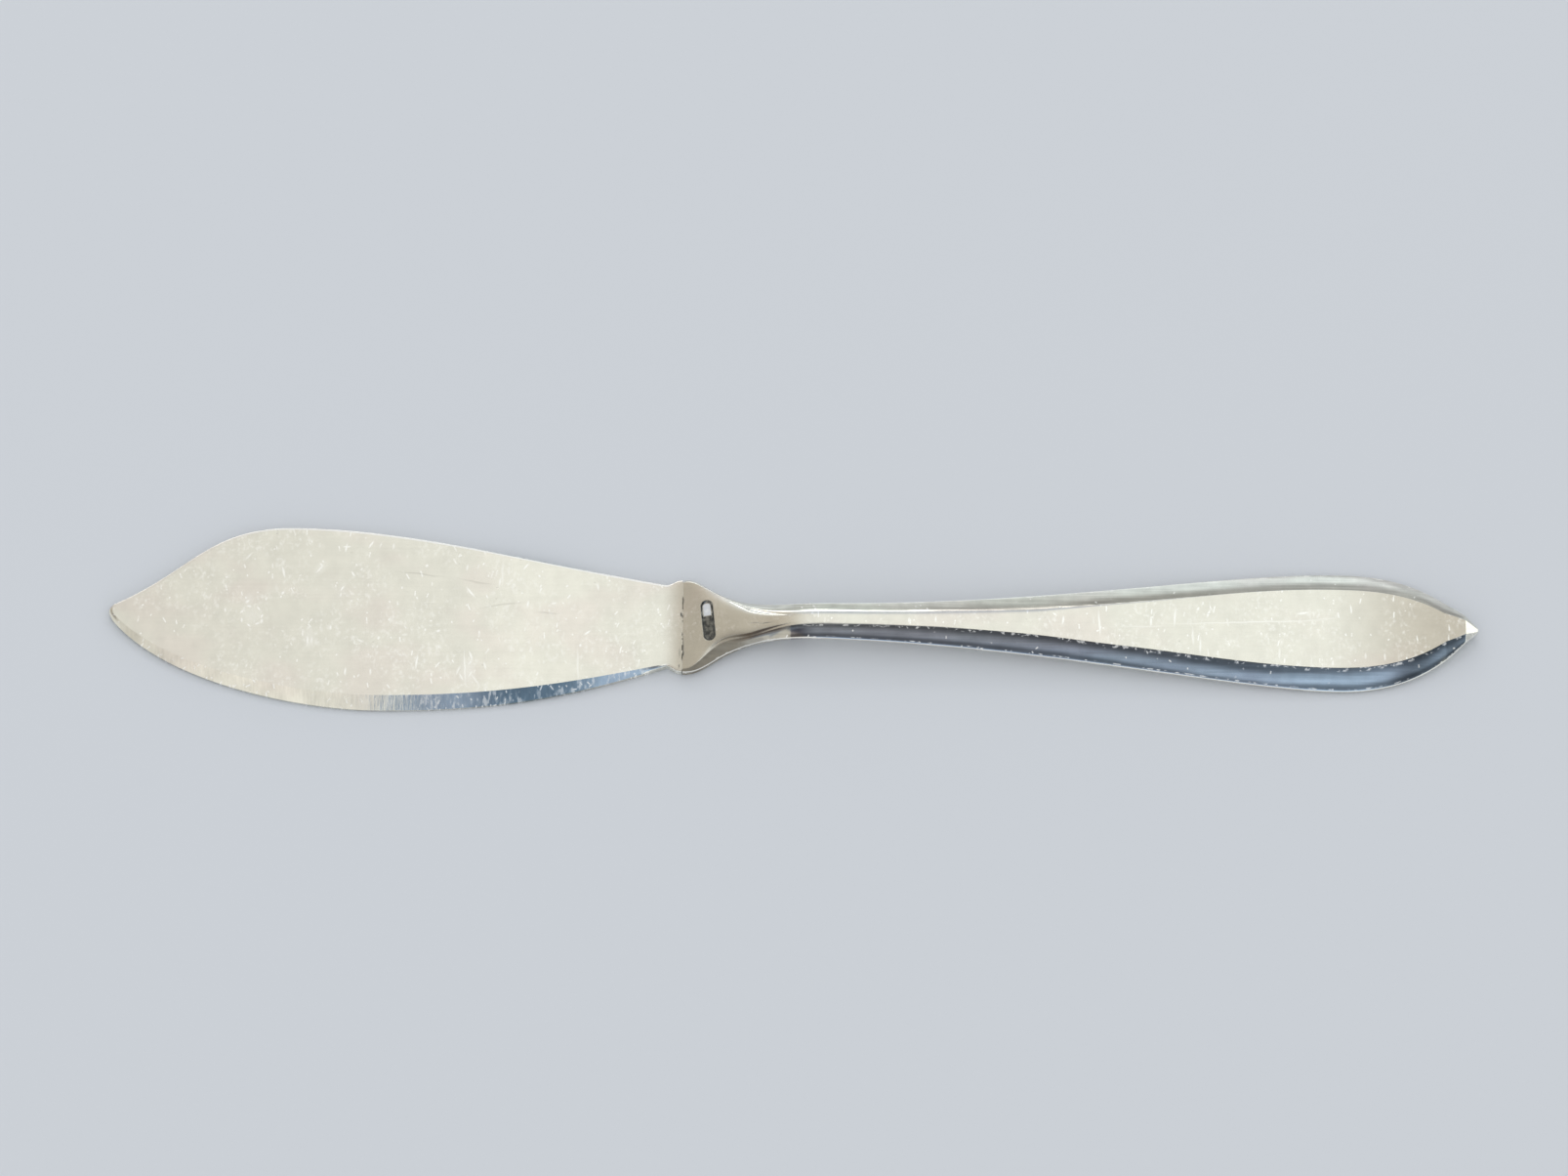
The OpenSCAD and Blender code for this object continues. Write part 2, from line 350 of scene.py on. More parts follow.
class Bench:
    """A node tree, with the few nodes that the finishes and the dome share."""

    ENDLESS = 1e6

    def __init__(self, tree: bpy.types.NodeTree) -> None:
        """Clears the tree."""
        tree.nodes.clear()
        self.tree = tree

    def node(self, kind: str, settings: dict[str, Any], sockets: dict[Any, Any]) -> bpy.types.Node:
        """Lays one node.

        Args:
            kind: Type of the node.
            settings: Properties that are set first; "stops" are the places and colours of a ramp.
            sockets: Values or links of the node's inputs, by name or number.

        Returns:
            The node.
        """
        node = self.tree.nodes.new(kind)
        for name, value in settings.items():
            if name == "stops":
                self._stops(node.color_ramp, value)
            else:
                setattr(node, name, value)
        for key, value in sockets.items():
            self._plug(node.inputs[key], value)
        return node

    @staticmethod
    def _stops(ramp: bpy.types.ColorRamp, stops: Sequence[tuple[float, Colour]]) -> None:
        """Gives a ramp its stops, which replace the two that it starts with."""
        while len(ramp.elements) < len(stops):
            ramp.elements.new(1.0)
        for element, (place, colour) in zip(ramp.elements, stops):
            element.position = place
            element.color = (*colour, 1.0)

    def _plug(self, socket: bpy.types.NodeSocket, value: Any) -> None:
        """Links a socket to what feeds it, or sets its value."""
        if isinstance(value, Signal):
            self.tree.links.new(value.socket, socket)
        elif isinstance(value, bpy.types.NodeSocket):
            self.tree.links.new(value, socket)
        elif socket.type == "RGBA":
            socket.default_value = (*value, 1.0)
        else:
            socket.default_value = value

    def mix(self, share: Number, first: Any, second: Any, way: Blend = Blend.MIX) -> bpy.types.NodeSocket:
        """Mixes two colours, which the Mix node takes at its inputs 6 and 7, by a share of the second."""
        settings = {"data_type": "RGBA", "blend_type": way.value}
        return self.node("ShaderNodeMix", settings, {0: share, 6: first, 7: second}).outputs[2]

    def tint(self, share: Number, colour: Any, tint: Any) -> bpy.types.NodeSocket:
        """Multiplies a colour by a tint, as far as the share says."""
        return self.mix(share, colour, tint, Blend.MULTIPLY)

    def vector(self, way: VectorWay, first: Any, second: Any) -> bpy.types.NodeSocket:
        """Lays a vector sum; a scale takes its number as the second value."""
        sockets = {0: first, 3 if way is VectorWay.SCALE else 1: second}
        return self.node("ShaderNodeVectorMath", {"operation": way.value}, sockets).outputs[0]

    def scale(self, value: Any, factor: Number) -> bpy.types.NodeSocket:
        """Scales a vector or a colour."""
        return self.vector(VectorWay.SCALE, value, factor)

    def length(self, value: Any) -> Signal:
        """Gives the length of a vector."""
        node = self.node("ShaderNodeVectorMath", {"operation": VectorWay.LENGTH.value}, {0: value})
        return Signal(self, node.outputs["Value"])

    def nearness(self, value: Any) -> Signal:
        """Gives 1 at the origin, which falls evenly to 0 at a distance of 1."""
        node = self.node("ShaderNodeTexGradient", {"gradient_type": "SPHERICAL"}, {"Vector": value})
        return Signal(self, node.outputs["Fac"])

    def split(self, value: Any) -> tuple[Signal, Signal, Signal]:
        """Splits a vector or a colour into its three values."""
        node = self.node("ShaderNodeSeparateXYZ", {}, {0: value})
        x, y, z = (Signal(self, socket) for socket in node.outputs)
        return x, y, z

    def seat(self, place: Any, centre: Point, turn: float, reach: Point) -> bpy.types.NodeSocket:
        """Gives the place as seen from a mark on the face, in units of the mark's reach.

        Args:
            place: The place on the piece.
            centre: Middle of the mark.
            turn: Turn of the mark's first axis from +X, in degrees.
            reach: Half length and half width of the mark.

        Returns:
            The place along and across the mark, whose reach in depth has no end.
        """
        sockets = {
            "Vector": place,
            "Location": (*centre, 0.0),
            "Rotation": (0.0, 0.0, math.radians(turn)),
            "Scale": (*reach, self.ENDLESS),
        }
        return self.node("ShaderNodeMapping", {"vector_type": "TEXTURE"}, sockets).outputs[0]


class Coat(Bench):
    """The bench of one material, with the measures of the piece that its finish asks for."""

    FACE_LEAN = (0.2, 0.28)
    FACE_UP = (0.86, 0.92)

    def __init__(self, name: str) -> None:
        """Makes the material."""
        self.material = bpy.data.materials.new(name)
        self.material.use_nodes = True
        super().__init__(self.material.node_tree)

    @cached_property
    def place(self) -> bpy.types.NodeSocket:
        """Gives the place on the piece in millimetres."""
        node = self.node("ShaderNodeTexCoord", {}, {})
        return self.scale(node.outputs["Object"], 1 / MM)

    @cached_property
    def axes(self) -> tuple[Signal, Signal, Signal]:
        """Gives the place along each axis."""
        return self.split(self.place)

    @property
    def x(self) -> Signal:
        """Gives the place along the knife."""
        return self.axes[0]

    @property
    def y(self) -> Signal:
        """Gives the place across the knife."""
        return self.axes[1]

    @cached_property
    def face(self) -> Signal:
        """Gives 1 on the broad faces, which look up and lean only along the knife, and 0 elsewhere."""
        node = self.node("ShaderNodeNewGeometry", {}, {})
        _, y, z = self.split(node.outputs["Normal"])
        return abs(y).fall(*self.FACE_LEAN) * z.rise(*self.FACE_UP)

    @cached_property
    def side(self) -> Signal:
        """Gives 1 on the bevels and sides, and 0 on the broad faces."""
        return 1 - self.face

    def attribute(self, name: str) -> Signal:
        """Gives an attribute of the piece's own mesh."""
        node = self.node("ShaderNodeAttribute", {"attribute_name": name}, {})
        return Signal(self, node.outputs["Fac"])

    def grain(self, pitch: Triple, detail: float) -> Signal:
        """Gives noise from 0 to 1 whose blotches measure about the pitch along each axis."""
        sockets = {"Vector": self.place, "Scale": [1 / p for p in pitch]}
        sized = self.node("ShaderNodeMapping", {}, sockets).outputs[0]
        node = self.node("ShaderNodeTexNoise", {}, {"Vector": sized, "Scale": 1.0, "Detail": detail})
        return Signal(self, node.outputs[0])

    def jitter(self, pitch: float, reach: float) -> bpy.types.NodeSocket:
        """Shifts the place by noise, so that straight marks waver."""
        node = self.node("ShaderNodeTexNoise", {}, {"Vector": self.place, "Scale": 1 / pitch, "Detail": 1.0})
        shift = self.vector(VectorWay.SUBTRACT, node.outputs[1], (0.5, 0.5, 0.5))
        return self.vector(VectorWay.ADD, self.place, self.scale(shift, reach))

    def bump(self, height: Signal) -> bpy.types.NodeSocket:
        """Turns a height in millimetres into a normal."""
        sockets = {"Strength": 1.0, "Distance": MM, "Height": height}
        return self.node("ShaderNodeBump", {}, sockets).outputs[0]

    def surface(self, sockets: dict[str, Any]) -> bpy.types.Material:
        """Lays the shader and the output, and gives the finished material."""
        shader = self.node("ShaderNodeBsdfPrincipled", {}, sockets)
        self.node("ShaderNodeOutputMaterial", {}, {"Surface": shader.outputs[0]})
        return self.material


@dataclass(frozen=True)
class Grain:
    """Noise: the pitch of its blotches along each axis and how fine it is."""

    pitch: Triple
    detail: float

    def level(self, coat: Coat) -> Signal:
        """Gives the noise, from 0 to 1."""
        return coat.grain(self.pitch, self.detail)

    def swing(self, coat: Coat) -> Signal:
        """Gives the noise about its middle, from -0.5 to 0.5."""
        return self.level(coat) - 0.5


@dataclass(frozen=True)
class Blotch:
    """Noise cut into soft blotches: their pitch, the levels that they climb between and how fine it is."""

    pitch: Triple
    start: float
    end: float
    detail: float = 2.0

    def mask(self, coat: Coat) -> Signal:
        """Gives 1 in the blotches."""
        return coat.grain(self.pitch, self.detail).rise(self.start, self.end)


@dataclass(frozen=True)
class Nick:
    """One scratch on a face: the place of its middle, its length, its turn from +X, its show and width."""

    x: float
    y: float
    run: float
    turn: float
    show: float = 1.0
    width: float = 0.2
    full_from: float = 0.8

    def mask(self, coat: Coat, place: Any) -> Signal:
        """Gives 1 along the middle of the scratch, thinning out to 0 at its ends and sides."""
        local = coat.seat(place, (self.x, self.y), self.turn, (self.run / 2, self.width))
        return coat.nearness(local).rise(0.0, self.full_from) * self.show


def nicks_of(*rows: Sequence[float]) -> tuple[Nick, ...]:
    """Makes one scratch of each row of a Nick's values."""
    return tuple(Nick(*row) for row in rows)


def ring_of_nicks(centre: Point, radius: float, count: int, run: float, lean: float) -> tuple[Nick, ...]:
    """Sets short scratches round a circle, as a pressed stone leaves them.

    Args:
        centre: Middle of the circle.
        radius: Its radius.
        count: How many scratches.
        run: Length of a scratch.
        lean: Turn of a scratch from the ray to it, in degrees.

    Returns:
        The scratches.
    """
    nicks = []
    for index in range(count):
        turn = 360 * index / count
        angle = math.radians(turn)
        spot = centre[0] + radius * math.cos(angle), centre[1] + radius * math.sin(angle)
        nicks.append(Nick(*spot, run, turn + lean))
    return tuple(nicks)


@dataclass(frozen=True)
class NickField:
    """Small scratches strewn over a face, at most one in each cell of an uneven net."""

    cell: float
    shortest: float
    longest: float
    width: float
    turn: float
    stray: float
    share: float
    taper: Point = (0.5, 1.0)
    full_from: float = 0.8

    def mask(self, coat: Coat, place: Any) -> Signal:
        """Gives 1 on the scratches.

        Args:
            coat: Bench of the finish.
            place: The place on the piece.

        Returns:
            The scratches' mask.
        """
        settings = {"voronoi_dimensions": "2D", "feature": "F1"}
        net = coat.node("ShaderNodeTexVoronoi", settings, {"Vector": place, "Scale": 1 / self.cell})
        x, y, _ = coat.split(coat.vector(VectorWay.SUBTRACT, place, net.outputs["Position"]))
        first, second, third = coat.split(net.outputs["Color"])
        angle = (first - 0.5) * math.radians(2 * self.stray) + math.radians(self.turn)
        cosine = angle.cosine()
        sine = angle.sine()
        along = abs(x * cosine + y * sine)
        across = abs(y * cosine - x * sine)
        reach = second * ((self.longest - self.shortest) / 2) + self.shortest / 2
        shape = (along / reach).fall(*self.taper) * across.fall(0.0, self.width)
        return shape * third.rise(1 - self.share, 1 - self.full_from * self.share)


@dataclass(frozen=True)
class SilverFinish:
    """Old table silver: ivory bright metal with warm patches, draw lines, scratches and bright edges.

    The bright edges are wear and a painted highlight at once.
    """

    name: str
    silver: Colour = (0.80, 0.788, 0.705)
    warm: Colour = (0.80, 0.760, 0.690)
    bright: Colour = (1.0, 0.995, 0.955)
    tarnish: Colour = (0.055, 0.058, 0.056)
    polish: float = 0.12
    satin: float = 0.22
    lines: Grain = Grain((14.0, 0.22, 1.0), 3.0)
    line_show: float = 0.07
    line_height: float = 0.0009
    grind: Grain = Grain((9.0, 0.3, 1.0), 3.0)
    grind_show: float = 0.6
    grind_depth: float = 0.01
    cloud: Grain = Grain((1.8, 2.4, 2.0), 4.0)
    cloud_show: float = 0.2
    side_cloud: float = 0.25
    smudge: Grain = Grain((6.0, 6.0, 6.0), 4.0)
    smudge_rough: float = 0.06
    stain_rough: float = 0.3
    wave: Grain = Grain((24.0, 16.0, 20.0), 1.0)
    wave_height: float = 0.05
    patch: Blotch = Blotch((11.0, 7.0, 9.0), 0.46, 0.66)
    haze: Blotch = Blotch((0.45, 0.6, 0.5), 0.48, 0.76, 3.0)
    haze_heap: Blotch = Blotch((5.0, 4.0, 4.0), 0.4, 0.62)
    haze_show: float = 0.52
    nicks: tuple[Nick, ...] = ()
    nick_waver: Point = (1.4, 0.22)
    strewn: NickField = NickField(2.0, 0.4, 1.2, 0.16, 88, 35, 0.5)
    heap: Blotch = Blotch((4.5, 3.5, 4.0), 0.36, 0.54)
    broken: Blotch = Blotch((0.4, 0.4, 0.4), 0.22, 0.5, 1.0)
    dots: NickField = NickField(1.5, 0.2, 0.45, 0.17, 70, 60, 0.22)
    dots_least: float = 0.2
    # Bright edges: wear, which also paints the edges' highlight line.
    rim_wear_sheen: Point = (0.6, 0.95)
    rim_sheen_show: float = 0.85
    flecks: NickField = NickField(1.3, 0.2, 0.5, 0.14, 70, 80, 0.3)
    fleck_heap: Blotch = Blotch((5.0, 3.0, 4.0), 0.32, 0.54)
    chips: Blotch = Blotch((0.7, 0.5, 0.6), 0.52, 0.64, 3.0)
    chip_wear: Window = (0.05, 0.5, 0.55, 0.7)
    frost_show: float = 0.8
    trace: Blotch = Blotch((1.1, 0.5, 1.0), 0.72, 0.8, 3.0)
    trace_show: float = 0.25
    hairlines: tuple[Nick, ...] = ()
    hairline_waver: Point = (3.0, 0.5)

    def paint(self) -> bpy.types.Material:
        """Makes the material.

        Returns:
            The material, named for the finish.
        """
        coat = Coat(self.name)
        face, side = coat.face, coat.side
        frost = self._frost(coat) * side
        stain = self._tarnish(coat)
        lines = self.lines.swing(coat)
        grind = self.grind.swing(coat)
        cloud = self.cloud.swing(coat)

        shade = lines * face * self.line_show + cloud * self.cloud_show + 1.0
        shade = shade + side * (grind * self.grind_show + cloud * self.side_cloud)
        colour = coat.mix(self.patch.mask(coat), self.silver, self.warm)
        colour = self._tint(coat, coat.scale(colour, shade))
        colour = coat.mix(self._marks(coat).most(frost), colour, self.bright)

        rough = face * (self.satin - self.polish) + self.polish
        rough = rough + self.smudge.swing(coat) * self.smudge_rough + stain * self.stain_rough
        wave = self.wave.level(coat) * self.wave_height
        height = (wave + lines * self.line_height) * face + side * grind * self.grind_depth
        return coat.surface(
            {
                "Base Color": coat.mix(stain, colour, self.tarnish),
                "Metallic": self._metal(coat, 1 - frost),
                "Roughness": self._dulled(coat, rough),
                "Normal": coat.bump(height),
            }
        )

    def _marks(self, coat: Coat) -> Signal:
        """Joins the bright marks: scratches, dots, fine haze, edge wear and painted edge highlight.

        Args:
            coat: Bench of the finish.

        Returns:
            The mask.
        """
        wavering = coat.jitter(*self.nick_waver)
        single = top_of(nick.mask(coat, wavering) for nick in self.nicks)
        heap = self.heap.mask(coat)
        strewn = self.strewn.mask(coat, wavering) * heap * self.broken.mask(coat)
        dots = self.dots.mask(coat, wavering) * (heap * (1 - self.dots_least) + self.dots_least)
        haze = self.haze.mask(coat) * self.haze_heap.mask(coat) * coat.face * self.haze_show
        # The edges' bright wear, which also paints their highlight line.
        worn_sheen = coat.attribute(RingDraw.WEAR_SHEEN).rise(*self.rim_wear_sheen) * self.rim_sheen_show
        return (single.most(strewn).most(dots) * coat.face).most(haze).most(worn_sheen)

    def _frost(self, coat: Coat) -> Signal:
        """Gives the white flecks of the bevels, which scatter light, and the chips along their upper edge."""
        edge = coat.attribute(RingDraw.WEAR_SHEEN).window(*self.chip_wear) * self.chips.mask(coat)
        return (self.flecks.mask(coat, coat.place) * self.fleck_heap.mask(coat)).most(edge) * self.frost_show

    def _tarnish(self, coat: Coat) -> Signal:
        """Gives where dark tarnish sits: a trace of it in blotches, and hairlines."""
        wavering = coat.jitter(*self.hairline_waver)
        lines = top_of(line.mask(coat, wavering) for line in self.hairlines)
        return lines.most(self.trace.mask(coat) * self.trace_show)

    def _metal(self, coat: Coat, bare: Signal) -> Signal:
        """Gives the share of bare metal; plain silver is bare but for its frost."""
        return bare

    def _dulled(self, coat: Coat, rough: Signal) -> Signal:
        """Gives the roughness; plain silver has no dulled places."""
        return rough

    def _tint(self, coat: Coat, colour: Any) -> Any:
        """Tints the metal along its length; plain metal keeps its colour."""
        return colour


@dataclass(frozen=True)
class BladeFinish(SilverFinish):
    """The blade's silver, whose ground edge is streaked and darkened in its middle by painted shade.

    Each nick and hairline sits where the photograph has one. The last rows of the nicks are soft smudges.
    """

    name: str = "scratched_blade_silver"
    polish: float = 0.1
    grind: Grain = Grain((0.3, 5.0, 1.0), 3.0)
    grind_show: float = 0.3
    grind_depth: float = 0.006
    flecks: NickField = NickField(0.9, 0.2, 0.9, 0.14, 75, 70, 0.8)
    # Painted shade on the middle of the ground edge, with painted light on the face above it.
    ground_shade: Colour = (0.375, 0.44, 0.475)
    ground_shade_band: Triple = (-38.5, -25.5, 4.0)
    face_light_gain: float = 0.07
    streaks: Blotch = Blotch((0.45, 1.3, 1.0), 0.48, 0.66, 3.0)
    streak_heap: Blotch = Blotch((3.5, 2.5, 3.0), 0.3, 0.52)
    streak_rise: Point = (-53.0, -42.0)
    streak_show: float = 0.5
    nicks: tuple[Nick, ...] = ring_of_nicks((-67.3, 0.1), 1.3, 7, 0.9, 70) + nicks_of(
        (-55.8, 9.3, 1.6, 82), (-52.7, 9.8, 1.6, 61), (-49.9, 9.6, 1.2, 84, 0.7), (-63.5, 6.0, 2.3, 105),
        (-59.0, 6.5, 2.0, 49, 0.9), (-54.8, 5.8, 1.2, -62), (-56.1, 3.9, 1.4, 58), (-60.2, -3.1, 1.9, 90),
        (-59.7, -3.1, 1.6, 88, 0.8), (-57.4, -1.4, 0.9, 90), (-53.7, -3.1, 1.4, -23, 0.7),
        (-55.4, -7.2, 1.4, 84), (-52.3, -7.2, 1.2, 87, 0.8), (-67.9, 8.1, 1.9, 51, 0.6),
        (-40.1, 3.5, 2.3, -53), (-36.5, 4.9, 1.6, 85, 0.8), (-36.2, 6.0, 4.6, 91, 0.5),
        (-33.3, 7.0, 1.5, 51, 0.9), (-33.0, 1.9, 1.4, 84, 0.9), (-24.3, 4.4, 1.4, 101, 0.7),
        (-25.5, -1.8, 1.4, 36), (-26.6, -6.1, 5.8, 92, 0.5), (-46.6, -5.9, 2.7, 84),
        (-40.6, -6.6, 6.2, 93, 0.9, 0.14), (-39.3, -8.1, 3.2, -56, 0.6), (-39.9, -5.0, 1.8, 106),
        (-38.1, -6.3, 1.5, 103, 0.8), (-41.4, -6.9, 1.8, 70, 0.7), (-41.0, -7.8, 1.7, 112, 0.8),
        (-39.9, -7.4, 1.6, 60, 0.8), (-40.0, -5.9, 1.2, 35, 0.7), (-58.8, 7.0, 1.0, -50, 0.9),
        (-55.7, 9.5, 1.4, 5, 0.9), (-56.3, 3.0, 0.9, 80, 0.8), (-63.5, 3.2, 0.8, 60, 1.0, 0.25),
        (-67.8, 2.0, 0.9, 40, 1.0, 0.28), (-66.0, -0.6, 0.9, 80, 1.0, 0.25),
        (-51.4, -2.7, 0.7, 75, 1.0, 0.22), (-44.0, -1.7, 0.7, 30, 1.0, 0.22),
        (-45.7, 7.0, 0.6, 60, 1.0, 0.25), (-40.6, 6.8, 1.1, 88, 0.7), (-26.3, -3.5, 0.7, 80, 0.9, 0.22),
        (-29.7, 2.1, 1.0, 10, 0.8), (-60.0, -2.9, 4.0, 92, 0.3, 1.0), (-40.3, -7.0, 5.5, 93, 0.32, 1.3),
        (-58.9, 6.6, 3.0, 55, 0.22, 0.9), (-56.2, 3.6, 3.4, 80, 0.2, 0.8),
        (-67.7, 2.2, 2.6, 85, 0.24, 0.9), (-67.3, 0.2, 3.8, 90, 0.22, 1.7),
    )
    hairlines: tuple[Nick, ...] = nicks_of(
        (-46.4, 5.9, 7.7, -6, 0.12, 0.18), (-39.4, 4.9, 6.4, -10, 0.1, 0.18),
        (-36.1, 1.9, 7.3, 9, 0.1, 0.18), (-30.4, 0.8, 4.2, -4, 0.1, 0.18),
        (-13.95, -4.4, 1.9, 90, 0.4, 0.14), (-13.9, 0.66, 0.9, 90, 0.9, 0.17),
        (-14.06, -6.2, 0.7, 80, 0.6, 0.15),
    )

    def _tint(self, coat: Coat, colour: Any) -> Any:
        """Paints shade on the middle of the ground edge and a little light on the face above it."""
        shaded_band = coat.x.band(*self.ground_shade_band)
        colour = coat.scale(colour, shaded_band * coat.face * self.face_light_gain + 1)
        return coat.tint(shaded_band * coat.side, colour, self.ground_shade)

    def _frost(self, coat: Coat) -> Signal:
        """Adds the pale streaks of the ground edge to its flecks."""
        streaks = self.streaks.mask(coat) * self.streak_heap.mask(coat) * coat.x.rise(*self.streak_rise)
        return super()._frost(coat).most(streaks * self.streak_show)


@dataclass(frozen=True)
class HandleFinish(SilverFinish):
    """The handle's silver, with painted shade (tan ends, brown flank, bevels) and a tarnished blank recess.

    Spans along the knife are places on X. Depths are shares of the way down a bevel.
    """

    name: str = "scratched_handle_silver"
    strewn: NickField = NickField(2.0, 0.4, 1.5, 0.16, 88, 14, 0.4)
    mark: Point = (0.0, 0.0)
    mark_turn: float = 0.0
    mark_reach: float = 1.0
    mark_half: float = 1.0
    # Painted tan shade on the face towards the tip and at the neck.
    tan: Colour = (0.74, 0.70, 0.665)
    tip_shade_rise: Point = (65.0, 80.0)
    neck_shade: Colour = (0.85, 0.81, 0.77)
    neck_shade_band: Triple = (-3.5, 0.5, 1.8)
    low_side: Point = (-1.0, 0.0)
    high_side: Point = (0.0, 1.0)
    # Painted brown shade on the shoulder's lower flank, thinning out along the neck.
    flank_shade: Colour = (0.33, 0.30, 0.262)
    flank_shade_fall: Point = (-7.4, -3.0)
    flank_shade_end: Point = (-0.42, -0.2)
    flank_shade_thin: float = 0.62
    flank_shade_scatter: float = 0.7
    dull_fall: Point = (-8.0, -5.0)
    dull_rough: float = 0.3
    # Painted shade in the crease of the shoulder's lower flank.
    crease_shade: Colour = (0.33, 0.275, 0.25)
    crease_depth: Point = (0.1, 0.4)
    crease_band: Triple = (-6.8, -0.6, 1.4)
    # Painted shade at the start of the lower bevel.
    onset_shade: Colour = (0.29, 0.275, 0.305)
    onset_depth: Point = (0.2, 0.45)
    onset_along: Window = (-0.45, -0.15, 0.5, 2.8)
    facet: Point = (83.2, 83.4)
    # Painted shade on the inner half of the upper bevel.
    shaded: Colour = (0.59, 0.565, 0.555)
    shaded_depth: Point = (0.2, 0.6)
    shaded_rise: Point = (4.0, 24.0)
    # Two painted stripes of shade along the lower bevel.
    stripe_rise: Point = (-0.8, -0.1)
    stripe_shift: float = 0.14
    shift_along: Window = (32.0, 55.0, 58.0, 66.0)
    upper_stripe: Point = (0.1, 0.5)
    upper_show: float = 0.68
    upper_loss: float = 0.14
    loss_rise: Point = (56.0, 68.0)
    lower_stripe: Point = (0.58, 0.82)
    lower_end: Point = (0.9, 0.98)
    lower_show: float = 0.62
    # Painted highlight in the upper part of the recess.
    glint: Colour = (0.66, 0.68, 0.70)
    glint_edge: Point = (0.5, 0.7)
    glint_band: Triple = (0.7, 2.35, 0.12)
    mottle: Blotch = Blotch((0.55, 0.55, 0.55), 0.3, 0.65)
    outline_edge: Window = (0.55, 0.75, 0.98, 1.1)
    outline_least: float = 0.58
    outline_gain: float = 0.4
    floor_edge: Point = (0.85, 1.0)
    floor_top: Point = (0.55, 0.8)
    floor_least: float = 0.72
    floor_gain: float = 0.24
    nicks: tuple[Nick, ...] = nicks_of(
        (38.0, -0.7, 4.4, 91, 0.8), (47.4, 0.3, 3.3, 84, 0.8), (49.6, -2.2, 3.3, 90, 0.6),
        (33.5, -0.4, 1.5, 85), (32.5, 0.4, 0.9, -37), (14.4, -0.8, 1.0, 86, 0.8), (17.7, -0.6, 1.1, 87, 0.8),
        (44.4, -0.3, 1.8, 88, 0.9), (51.6, 0.9, 1.6, 70), (50.3, 1.5, 0.8, 62), (50.5, -3.4, 3.0, 87, 0.7),
        (60.3, -4.3, 2.5, 89, 0.6), (63.4, 1.2, 2.3, 11, 0.9), (66.9, -5.4, 1.0, 87, 0.7),
        (71.0, -4.4, 1.1, 87, 0.5), (43.6, -1.0, 8.0, 2, 0.35, 0.16), (57.0, -0.15, 27.0, 2.6, 0.55, 0.15),
        (65.4, 0.4, 8.0, 6, 0.3, 0.14),
    )
    hairlines: tuple[Nick, ...] = nicks_of(
        (-13.52, -3.4, 3.6, 90, 0.7, 0.13), (-13.5, -4.5, 1.3, 89, 0.9, 0.17),
        (-13.58, 2.6, 1.3, 90, 0.5, 0.1), (-3.2, -1.25, 2.4, 4, 0.5, 0.13), (-4.6, -1.15, 2.2, 2, 0.3, 0.12),
    )

    def _tint(self, coat: Coat, colour: Any) -> Any:
        """Paints tan shade at the neck and the tip, shade on the bevels and a highlight in the recess."""
        colour = coat.tint(coat.x.rise(*self.tip_shade_rise) * coat.face, colour, self.tan)
        colour = coat.tint(coat.x.band(*self.neck_shade_band) * coat.face, colour, self.neck_shade)
        colour = self._tint_bevels(coat, self._tint_flank(coat, colour))
        return coat.mix(self._glint(coat), colour, self.glint)

    def _low(self, coat: Coat) -> Signal:
        """Gives 1 on the bevel and the side that look to -Y."""
        return coat.y.fall(*self.low_side) * coat.side

    def _tint_flank(self, coat: Coat, colour: Any) -> Any:
        """Paints brown shade on the shoulder's flank and crease, and shade where the lower bevel starts.

        Args:
            coat: Bench of the finish.
            colour: The metal's colour.

        Returns:
            The tinted colour.
        """
        low = self._low(coat)
        depth = coat.attribute(RingDraw.SLOPE)
        fold = depth.fall(*self.crease_depth) * coat.x.band(*self.crease_band) * low
        begun = depth.rise(*self.onset_depth) * coat.x.window(*self.onset_along) * low
        colour = coat.tint(self._flank_shade(coat), colour, self.flank_shade)
        colour = coat.tint(fold, colour, self.crease_shade)
        return coat.tint(begun, colour, self.onset_shade)

    def _tint_bevels(self, coat: Coat, colour: Any) -> Any:
        """Paints shade on the inner half of the upper bevel and two stripes of shade along the lower one.

        Args:
            coat: Bench of the finish.
            colour: The metal's colour.

        Returns:
            The tinted colour.
        """
        x = coat.x
        depth = coat.attribute(RingDraw.SLOPE)
        grip = x.fall(*self.facet)
        high = coat.y.rise(*self.high_side) * coat.side
        shade = depth.fall(*self.shaded_depth) * x.rise(*self.shaded_rise) * grip * high
        colour = coat.tint(shade, colour, self.shaded)
        inner = depth - x.window(*self.shift_along) * self.stripe_shift
        upper = inner.fall(*self.upper_stripe) * (self.upper_show - x.rise(*self.loss_rise) * self.upper_loss)
        lower = inner.rise(*self.lower_stripe) * depth.fall(*self.lower_end) * self.lower_show
        shade_stripes = (upper + lower) * x.rise(*self.stripe_rise) * grip * self._low(coat)
        return coat.scale(colour, 1 - shade_stripes)

    def _flank_shade(self, coat: Coat) -> Signal:
        """Gives the painted brown shade on the shoulder's lower flank, which thins out along the neck."""
        thin = coat.x.fall(*self.flank_shade_end) * self.flank_shade_thin
        return coat.x.fall(*self.flank_shade_fall).most(thin) * self._low(coat)

    def _dulled(self, coat: Coat, rough: Signal) -> Signal:
        """Dulls the shoulder's lower flank."""
        return rough + coat.x.fall(*self.dull_fall) * self._low(coat) * self.dull_rough

    def _glint(self, coat: Coat) -> Signal:
        """Gives the painted highlight in the upper part of the recess."""
        out, along = self._recess(coat)
        return out.fall(*self.glint_edge) * along.band(*self.glint_band)

